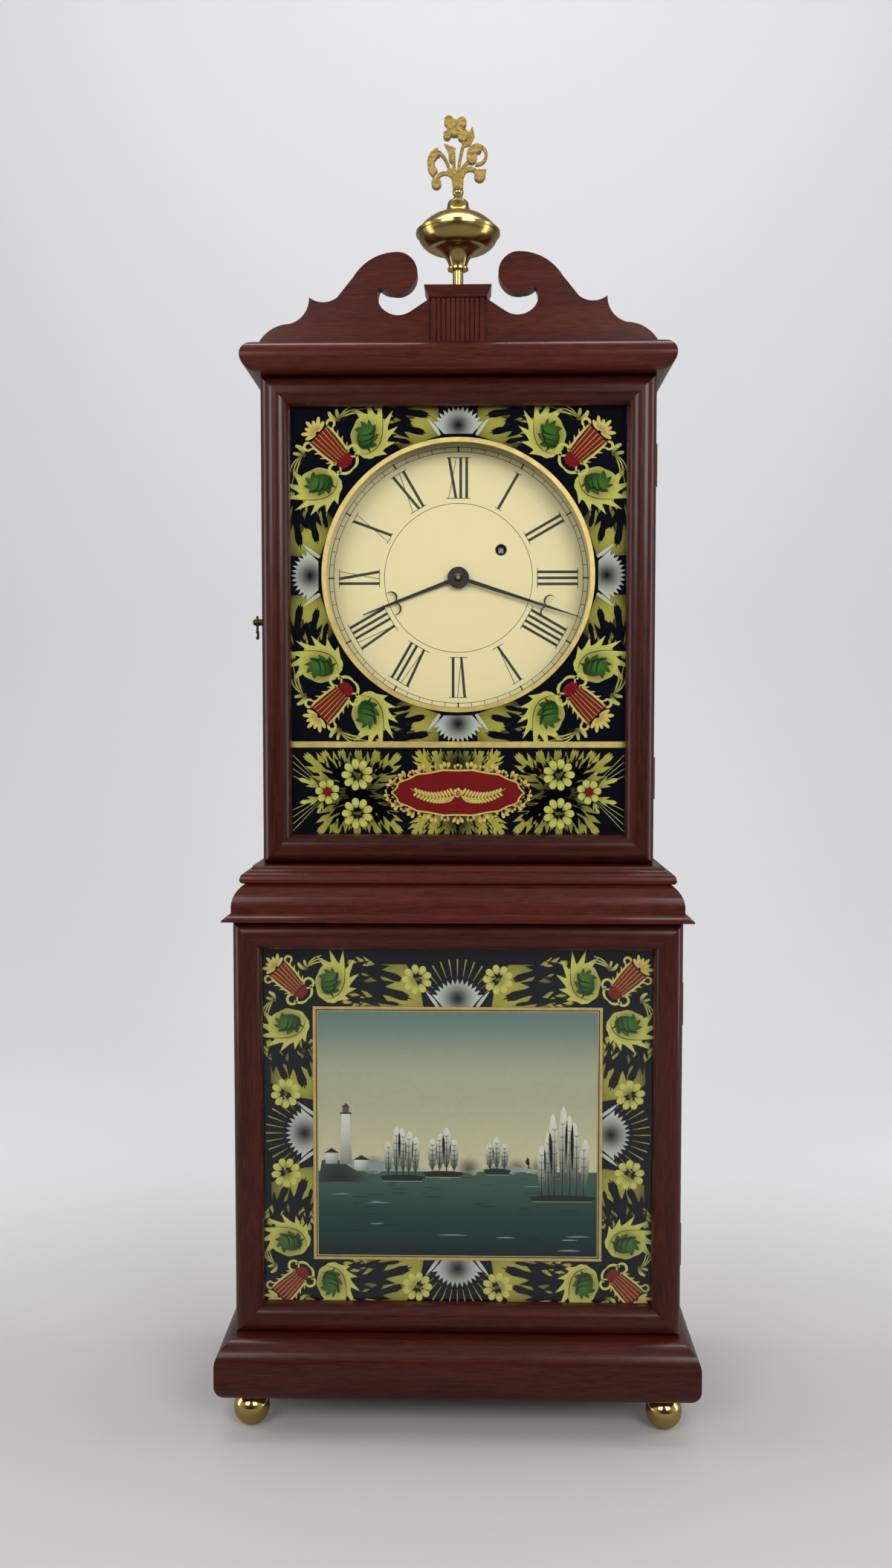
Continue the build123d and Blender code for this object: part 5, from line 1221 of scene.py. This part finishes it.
@dataclass
class LowerGlass(Painting):
    """Painting behind the lower pane: a landscape by the sea inside a border."""

    glass: str = "lower_door_glass"
    body: str = "lower_door"
    picture_half_width: float = 102.0
    picture_low: float = 116.6
    picture_high: float = 298.2
    horizon: float = 180.5
    band: float = 2.0
    line: float = 0.7
    seed: int = 7

    def __post_init__(self) -> None:
        """Count heights from the middle of the picture, and start its random draws."""
        self.measure((self.picture_low + self.picture_high) / 2)
        self.half_height = (self.picture_high - self.picture_low) / 2
        self.draws = random.Random(self.seed)

    def border(self, canvas: Canvas) -> None:
        """Paint fans, daisies, leaves and lyres round the picture.

        Args:
            canvas: canvas to paint on.
        """
        canvas.draw([Shape(rectangle(self.half_width, self.low, self.high), plain(Paint.GROUND), 0)])
        wide, tall = self.picture_half_width, self.half_height
        sides = ((Place(0, tall), wide), (Place(0, -tall, 180), wide),
                 (Place(-wide, 0, 90), tall), (Place(wide, 0, -90), tall))
        for place, reach in sides:
            canvas.draw(silver_fan(20.0) + fan_rays(21.5, 34, 62, 13), place, 3)
            for hand in (-1, 1):
                flower = Place(hand * 28.5, 19.5)
                centre = place.put((flower.x, flower.y))
                canvas.draw(daisy(10.6, 9), Place(*centre, place.turn), 3)
                start = hand * 36
                far = hand * (reach - 24)
                glow = Wash(Paint.OLIVE, Paint.GROUND, (start + hand * 2, 10), abs(far - start) * 1.05)
                middle = (start + far) / 2
                tips = Wash(Paint.GROUND, Paint.OLIVE, (start, 12), abs(far - start) * 0.9)
                dark = plain(Paint.GROUND)
                block = [(start - hand * 12, 0), (start - hand * 10, 12), (start, 30), (far, 30), (far, 0)]
                spray = [
                    Shape(block, glow, 1),
                    *leaves([((middle, 8), (middle + hand * 8, 6), (far + hand * 4, 3), 11, 4),
                             ((middle, 24), (middle + hand * 6, 28), (far, 32), 12, 4)], tips, 2),
                    *leaves([((far, 16), (middle, 14), (start - hand * 5, 5), 16, 3),
                             ((far, 27), (middle, 27), (start + hand * 1, 18), 13, 3),
                             ((far, 5), (middle + hand * 4, 5), (start + hand * 2, 1), 7, 3)], dark, 3),
                ]
                canvas.draw(spray, place)
        corner = (-wide, tall)
        leaf = Place(-wide + 14, tall + 17, -8)
        for spot in (leaf, leaf.across_corner(corner)):
            for place in spot.fourfold():
                canvas.draw(curled_leaf(20.0), place, 3)
        for place in Place(-wide - 15.5, tall + 17.5, 45).fourfold():
            canvas.draw(lyre(18.5), place, 4)
        twig = Place(-wide - 4, tall + 27, 15)
        for spot in (twig, twig.across_corner(corner)):
            for place in spot.fourfold():
                canvas.draw(sprig(6.5), place, 3)

    def ridge(self, start: float, end: float, base: float, heights: tuple[float, ...]) -> list[Point]:
        """Return a hill's outline: a rough skyline over a level base.

        Args:
            start: left end.
            end: right end.
            base: level of the foot.
            heights: heights over the base, from left to right.

        Returns:
            The closed outline.
        """
        points = [(start, base)]
        for number, height in enumerate(heights):
            t = (number + 0.5) / len(heights)
            rough = self.draws.uniform(-0.8, 0.8)
            points.append((start + (end - start) * t, base + height + rough))
        points.append((end, base))
        return points

    def cloud(self, x: float, y: float, width: float, height: float) -> list[Point]:
        """Return a soft cloud's outline.

        Args:
            x: middle across.
            y: middle up.
            width: whole width.
            height: whole height.

        Returns:
            The closed outline.
        """
        outline = []
        for number in range(28):
            turn = 2 * math.pi * number / 28
            puff = 1 + 0.16 * math.sin(turn * 5 + x) + 0.10 * math.sin(turn * 9)
            outline.append((x + width / 2 * puff * math.cos(turn), y + height / 2 * puff * math.sin(turn)))
        return outline

    def tower(self, x: float, base: float, height: float, width: float) -> list[Shape]:
        """Return a lighthouse: tapered shaft, gallery, lantern and cap.

        Args:
            x: middle across.
            base: level of its foot.
            height: height of the shaft.
            width: width of the foot.

        Returns:
            The shapes.
        """
        top = base + height
        shaft = [(x - width / 2, base), (x + width / 2, base), (x + width * 0.32, top),
                 (x - width * 0.32, top)]
        gallery = box_at(x, top, width * 0.9, height * 0.03)
        lantern = box_at(x, top + height * 0.03, width * 0.5, height * 0.1)
        cap = [(x - width * 0.36, top + height * 0.13), (x + width * 0.36, top + height * 0.13),
               (x, top + height * 0.22)]
        light = Wash(Paint.CHALK, Paint.CHALK_SHADE, (x - width, base + height), height * 1.5)
        return [Shape(shaft, light, 5), Shape(gallery, plain(Paint.HILL_NEAR), 6),
                Shape(lantern, plain(Paint.CHALK_SHADE), 6), Shape(cap, plain(Paint.LYRE_RED), 6)]

    def grove(self, x: float, base: float, width: float, height: float) -> list[Shape]:
        """Return an islet with dark banks and slender pale trees of uneven height.

        Args:
            x: middle across.
            base: level of the bank.
            width: width of the stand of trees.
            height: greatest height of a tree.

        Returns:
            The shapes.
        """
        shapes = []
        count = max(3, int(width / 5.5))
        for number in range(count):
            share = (number + 0.5) / count
            at = x + (share - 0.5) * width * 0.84 + self.draws.uniform(-0.6, 0.6)
            tall = height * (0.58 + 0.42 * math.sin(math.pi * share)) * self.draws.uniform(0.82, 1.0)
            crown = petal(tall * 0.12, tall, width / count * 1.25, 90 + self.draws.uniform(-2, 2))
            light = Wash(Paint.CHALK, Paint.CHALK_SHADE, (at - 1.6, base + tall), tall * 0.85)
            shapes.append(Shape([(at + px, base + py) for px, py in crown], light, 5))
            trunk = [(at, base), (at + 0.2, base + tall * 0.8)]
            shapes.append(Shape(brush(trunk, 0.8, 0.2), plain(Paint.HILL_NEAR), 6))
            for branch in range(5):
                level = base + tall * (0.24 + 0.14 * branch)
                reach = width / count * (0.55 - 0.07 * branch)
                line = curve((at - reach, level + 1.6), (at, level - 1.2), (at + reach, level + 1.6), 6)
                shapes.append(Shape(brush(line, 0.1, 0.1, 0.55), plain(Paint.CHALK_SHADE), 6))
        bank = [(x - width * 0.56, base + 1.6), (x - width * 0.2, base + 2.6), (x + width * 0.3, base + 2.3),
                (x + width * 0.58, base + 1.2), (x + width * 0.48, base - 2.0),
                (x - width * 0.48, base - 2.0)]
        shapes.append(Shape(bank, plain(Paint.HILL_NEAR), 7))
        glint = brush([(x - width * 0.5, base - 2.1), (x + width * 0.5, base - 2.1)], 0.2, 0.2, 0.3)
        shapes.append(Shape(glint, plain(Paint.CHALK), 7))
        return shapes

    def picture(self, canvas: Canvas) -> None:
        """Paint sky, clouds, far hills, a headland, islets with pale trees, a lighthouse and the sea.

        Args:
            canvas: canvas to paint on.
        """
        half = self.picture_half_width - self.band - self.line * 2
        low = -self.half_height + self.band + self.line * 2
        high = self.half_height - self.band - self.line * 2
        horizon = self.horizon - self.level
        middle = horizon + (high - horizon) * 0.55
        shapes = [
            Shape(rectangle(half, middle, high),
                  Wash(Paint.SKY_MIDDLE, Paint.SKY_HIGH, (0, middle), high - middle, True), 0),
            Shape(rectangle(half, horizon, middle),
                  Wash(Paint.SKY_LOW, Paint.SKY_MIDDLE, (0, horizon), middle - horizon, True), 0),
            Shape(rectangle(half, low + 22, horizon),
                  Wash(Paint.SEA_MIDDLE, Paint.SEA_FAR, (0, low + 22), horizon - low - 22, True), 0),
            Shape(rectangle(half, low, low + 22),
                  Wash(Paint.SEA_NEAR, Paint.SEA_MIDDLE, (0, low), 22, True), 0),
            Shape(self.ridge(-half, -10, horizon, (3, 6, 9, 7, 8, 5, 3, 2)),
                  Wash(Paint.HILL_FAR, Paint.SKY_LOW, (-60, horizon), 60), 2),
            Shape(self.ridge(6, 62, horizon, (1, 3, 6, 5, 3, 1)),
                  Wash(Paint.HILL_FAR, Paint.SKY_LOW, (36, horizon), 46), 2),
        ]
        for x, width, height in ((-60, 26, 13), (8, 22, 13), (42, 20, 12), (58, 20, 15)):
            shapes.append(Shape(self.cloud(x, horizon + 5, width, height),
                                Wash(Paint.CHALK_SHADE, Paint.SKY_LOW, (x, horizon + 2), width * 0.52), 1))
        shapes += self.grove(-39, horizon - 5, 28, 44)
        shapes += self.grove(-10, horizon - 2, 25, 37)
        shapes += self.grove(28, horizon, 17, 27)
        shapes += self.grove(74, horizon - 19, 42, 68)
        shapes.append(Shape(self.ridge(-half, -58, horizon - 8, (15, 17, 16, 14, 11, 8, 4, 2)),
                            Wash(Paint.HILL_NEAR, Paint.HILL_FAR, (-84, horizon - 8), 70), 4))
        shapes += self.tower(-79, horizon + 5, 36, 9)
        for x, lift, width, height in ((-89, 5, 9, 8), (-68, 1, 10, 7)):
            base = horizon + lift
            top = base + height
            wall = Wash(Paint.CHALK, Paint.CHALK_SHADE, (x - 3, top), 14)
            roof = [(x - width * 0.6, top), (x + width * 0.6, top), (x, top + 3.5)]
            shapes.append(Shape(box_at(x, base, width, height), wall, 5))
            shapes.append(Shape(roof, plain(Paint.HILL_NEAR), 6))
        for number in range(46):
            t = self.draws.random() ** 1.4
            level = horizon - 4 - t * (horizon - low - 7)
            x = self.draws.uniform(-half + 12, half - 12)
            reach = self.draws.uniform(3, 10) * (0.6 + t)
            line = curve((x - reach, level), (x, level + 0.5), (x + reach, level), 6)
            tone = Paint.SEA_NEAR if number % 3 else Paint.HILL_FAR
            shapes.append(Shape(brush(line, 0.1, 0.1, 0.25 + 0.7 * t), plain(tone), 2))
        canvas.draw(shapes)

    def frame_lines(self) -> Canvas:
        """Return the canvas of the gold band and the thin line inside it.

        Returns:
            The painted canvas.
        """
        canvas = self.canvas("picture_gold_lines", -0.6)
        half, tall = self.picture_half_width, self.half_height
        first, second, third = self.band, self.band + self.line, self.band + self.line * 2
        canvas.draw([
            Shape(rectangle(half, -tall, tall), plain(Paint.GILT), 0,
                  [rectangle(half - first, -tall + first, tall - first)]),
            Shape(rectangle(half - second, -tall + second, tall - second), plain(Paint.GILT), 0,
                  [rectangle(half - third, -tall + third, tall - third)]),
        ])
        return canvas

    def build(self) -> None:
        """Make the lower painting."""
        paint = PAINTED_GLASS.make()
        border = self.canvas("lower_painted_border")
        self.border(border)
        border.build(paint)
        backing = self.canvas("lower_picture_edge", -0.28)
        backing.draw([Shape(rectangle(self.picture_half_width, -self.half_height, self.half_height),
                            plain(Paint.GROUND), 0)])
        backing.build(paint)
        picture = self.canvas("lower_painted_picture", -0.31)
        self.picture(picture)
        picture.build(paint)
        self.frame_lines().build(GILDING.make())


@dataclass
class DialPrint:
    """Numerals, minute track and circle printed on the dial, with a black ring of painted shade round the
    winding hole.
    """

    track_inner: float = 90.1
    track_outer: float = 93.3
    numeral_inner: float = 57.0
    numeral_outer: float = 86.0
    middle_circle: float = 53.4
    hairline: float = 0.42
    thick: float = 2.0
    hour_mark_longer: float = 0.6
    hour_mark_width: float = 1.1
    lift: float = 0.03
    # inner and outer radii of the black ring of painted shade round the winding hole, standing for its dark
    # recess
    hole_shade_inner: float = 3.5
    hole_shade_outer: float = 4.1
    body: str = "case"
    numerals: tuple[str, ...] = ("XII", "I", "II", "III", "IIII", "V", "VI", "VII", "VIII", "IX", "X",
                                 "XI")

    def __post_init__(self) -> None:
        """Read the dial's place from the frame."""
        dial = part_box("dial")
        self.depth = dial[0].y / MM
        self.level = (dial[0].z + dial[1].z) / 2 / MM

    def ring(self, radius: float) -> Shape:
        """Return a hairline circle."""
        half = self.hairline / 2
        return Shape(circle(radius + half), plain(Paint.PRINT_BLACK), 1, [circle(radius - half)])

    def numeral(self, text: str) -> list[Shape]:
        """Return the strokes and serifs of a numeral, upright over the dial's middle.

        Args:
            text: the numeral in its letters.

        Returns:
            The shapes.
        """
        low, high = self.numeral_inner, self.numeral_outer
        widths = {"I": 4.3, "V": 7.6, "X": 7.6}
        total = sum(widths[letter] for letter in text)
        at = -total / 2
        ink = plain(Paint.PRINT_BLACK)
        shapes = []
        for letter in text:
            wide = widths[letter]
            left, right = at + 1.1, at + wide - 1.1
            middle = at + wide / 2
            if letter == "I":
                strokes = [((middle, low), (middle, high), self.thick, self.thick, 1)]
            elif letter == "V":
                strokes = [((left + 0.2, high), (middle, low), self.thick, self.thick * 0.9, 1),
                           ((middle, low), (right, high), 0.5, 0.5, 1)]
            else:
                strokes = [((left + 0.2, high), (right - 0.2, low), self.thick, self.thick, 1),
                           ((left, low), (right, high), 0.45, 0.45, 2)]
            shapes += [Shape(brush([first, last], wide_first, wide_last), ink, layer)
                       for first, last, wide_first, wide_last, layer in strokes]
            at += wide
        reach = total / 2 + 0.7
        for level in (low, high):
            shapes.append(Shape(brush([(-reach, level), (reach, level)], 0.5, 0.5), ink, 1))
        return shapes

    def build(self) -> None:
        """Make the print on the dial."""
        canvas = Canvas("dial_print", self.depth, self.level, self.body, layer_step=self.lift)
        radii = (self.middle_circle, self.track_inner, self.track_outer)
        canvas.draw([self.ring(radius) for radius in radii])
        ink = plain(Paint.PRINT_BLACK)
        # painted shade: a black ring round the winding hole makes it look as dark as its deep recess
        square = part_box("winding_drum")
        middle = ((square[0].x + square[1].x) / 2 / MM, (square[0].z + square[1].z) / 2 / MM - self.level)
        hole_shade_ring = Shape(arc((0, 0), self.hole_shade_outer, 0, 350, 35), ink, 1,
                       [arc((0, 0), self.hole_shade_inner, 0, 350, 35)])
        canvas.draw([hole_shade_ring], Place(*middle))
        for minute in range(60):
            hour = minute % 5 == 0
            longer = self.hour_mark_longer if hour else 0.0
            start = self.track_inner - longer
            end = self.track_outer + longer
            width = self.hour_mark_width if hour else self.hairline
            mark = brush([(0, start), (0, end)], width, width)
            canvas.draw([Shape(mark, ink, 1)], Place(turn=-6 * minute))
        for hour, text in enumerate(self.numerals):
            canvas.draw(self.numeral(text), Place(turn=-30 * hour))
        canvas.build(PRINT.make())


@dataclass(frozen=True)
class Lamp:
    """A rectangular lamp: where it hangs, what it faces, its size in metres and its power in watts."""

    name: str
    place: Spot
    aim: Spot
    size: Point
    power: float

    def hang(self) -> None:
        """Add the lamp to the scene."""
        light = bpy.data.lights.new(self.name, "AREA")
        light.shape = "RECTANGLE"
        light.size, light.size_y = self.size
        light.energy = self.power
        piece = add_object(self.name, light)
        piece.location = self.place
        piece.rotation_mode = "QUATERNION"
        piece.rotation_quaternion = (Vector(self.aim) - Vector(self.place)).to_track_quat("-Z", "Y")


@dataclass
class Studio:
    """Pale sweep, lamps, surroundings and camera."""

    sweep_half_width: float = 4.0
    sweep_front: float = -3.0
    mirrored: float = 0.28
    sweep_back: float = 1.6
    sweep_height: float = 4.0
    sweep_round: float = 0.7
    # the one paper is coloured darker on the floor and paler on the wall: painted shade of the floor
    floor_colour: Colour = (0.62, 0.61, 0.60)
    wall_colour: Colour = (0.84, 0.84, 0.85)
    camera_place: Spot = (0.01265, -0.9937, 0.5044)
    camera_left: float = 1.262
    camera_down: float = 2.995
    lens: float = 30.98
    sensor: float = 36.0
    world_strength: float = 0.42
    world_front: Colour = (0.06, 0.06, 0.065)
    world_rest: Colour = (0.92, 0.94, 0.97)
    lamps: tuple[Lamp, ...] = (
        Lamp("left lamp", (-0.85, -1.6, 1.2), (0, 0, 0.5), (0.9, 0.8), 9),
        Lamp("right lamp", (0.85, -1.6, 1.2), (0, 0, 0.5), (0.9, 0.8), 13),
        Lamp("left strip", (-1.3, -0.1, 0.6), (0, -0.06, 0.5), (0.35, 1.5), 4),
        Lamp("right strip", (1.3, -0.1, 0.6), (0, -0.06, 0.5), (0.35, 1.5), 4),
        Lamp("backdrop lamp", (0, 0.2, 2.6), (0, 1.4, 0.6), (2.6, 0.5), 24),
    )

    def sweep(self) -> None:
        """Build the floor that curves up into a backdrop."""
        corner = [(self.sweep_back - self.sweep_round + self.sweep_round * math.sin(t),
                   self.sweep_round - self.sweep_round * math.cos(t))
                  for t in (math.pi / 2 * n / 16 for n in range(17))]
        profile = [(self.sweep_front, 0.0), *corner, (self.sweep_back, self.sweep_height)]
        vertices = [(x, y, z) for y, z in profile for x in (-self.sweep_half_width, self.sweep_half_width)]
        faces = [(2 * n, 2 * n + 1, 2 * n + 3, 2 * n + 2) for n in range(len(profile) - 1)]
        mesh = bpy.data.meshes.new("sweep")
        mesh.from_pydata(vertices, [], faces)
        for polygon in mesh.polygons:
            polygon.use_smooth = True
        mesh.materials.append(self.paper())
        piece = add_object("sweep", mesh)

    def paper(self) -> bpy.types.Material:
        """Return the backdrop's paper, which polished things mirror as a dimmer room; its floor is darker
        than its wall as painted shade.

        Returns:
            The new material.
        """
        material, nodes, out = new_material("Backdrop paper")
        surface = nodes.add("ShaderNodeBsdfDiffuse")
        path = nodes.add("ShaderNodeLightPath")
        tint = nodes.add("ShaderNodeMix", data_type="RGBA")
        place = nodes.add("ShaderNodeTexCoord")
        parts = nodes.add("ShaderNodeSeparateXYZ")
        # painted shade: the paper turns from the darker floor colour in front to the paler wall colour
        # behind the clock
        rise = nodes.add("ShaderNodeMapRange", From_Min=0.05, From_Max=0.55,
                         interpolation_type="SMOOTHSTEP")
        room = nodes.add("ShaderNodeMix", data_type="RGBA")
        room.inputs["A"].default_value = (*self.floor_colour, 1.0)
        room.inputs["B"].default_value = (*self.wall_colour, 1.0)
        nodes.join(place, "Object", parts, 0)
        nodes.join(parts, "Y", rise, "Value")
        nodes.join(rise, 0, room, "Factor")
        nodes.join(room, "Result", tint, "A")
        tint.inputs["B"].default_value = (self.mirrored, self.mirrored, self.mirrored, 1.0)
        nodes.join(path, "Is Glossy Ray", tint, "Factor")
        nodes.join(tint, "Result", surface, "Color")
        nodes.join(surface, 0, out, "Surface")
        return material

    def surroundings(self) -> None:
        """Set a room that is dark in front of the clock and pale elsewhere."""
        world = bpy.data.worlds.new("Studio")
        bpy.context.scene.world = world
        world.use_nodes = True
        nodes = Nodes(world.node_tree)
        out = nodes.add("ShaderNodeOutputWorld")
        light = nodes.add("ShaderNodeBackground", Strength=self.world_strength)
        place = nodes.add("ShaderNodeTexCoord")
        parts = nodes.add("ShaderNodeSeparateXYZ")
        spread = nodes.add("ShaderNodeMapRange", From_Min=-0.95, From_Max=-0.35)
        tint = nodes.add("ShaderNodeMix", data_type="RGBA")
        tint.inputs["A"].default_value = (*self.world_front, 1.0)
        tint.inputs["B"].default_value = (*self.world_rest, 1.0)
        nodes.join(place, "Generated", parts, 0)
        nodes.join(parts, "Y", spread, "Value")
        nodes.join(spread, 0, tint, "Factor")
        nodes.join(tint, "Result", light, "Color")
        nodes.join(light, 0, out, "Surface")

    def camera(self) -> None:
        """Place the camera as the photograph was taken."""
        data = bpy.data.cameras.new("camera")
        data.lens = self.lens
        data.sensor_width = self.sensor
        piece = add_object("camera", data)
        piece.location = self.camera_place
        piece.rotation_euler = (math.radians(90 - self.camera_down), 0, math.radians(self.camera_left))
        bpy.context.scene.camera = piece

    def build(self) -> None:
        """Make the studio."""
        self.sweep()
        for lamp in self.lamps:
            lamp.hang()
        self.surroundings()
        self.camera()
        scene = bpy.context.scene
        scene.view_settings.view_transform = "Standard"
        LOG.info("studio: sweep, %d lamps, camera", len(self.lamps))


def main() -> None:
    """Dress the clock, paint its glass and dial, and light it."""
    logging.basicConfig(level=logging.INFO, format="%(name)s %(message)s")
    CaseDress().dress()
    WeightLine().build()
    UpperGlass().build()
    LowerGlass().build()
    DialPrint().build()
    Studio().build()


if __name__ == "__main__":
    main()
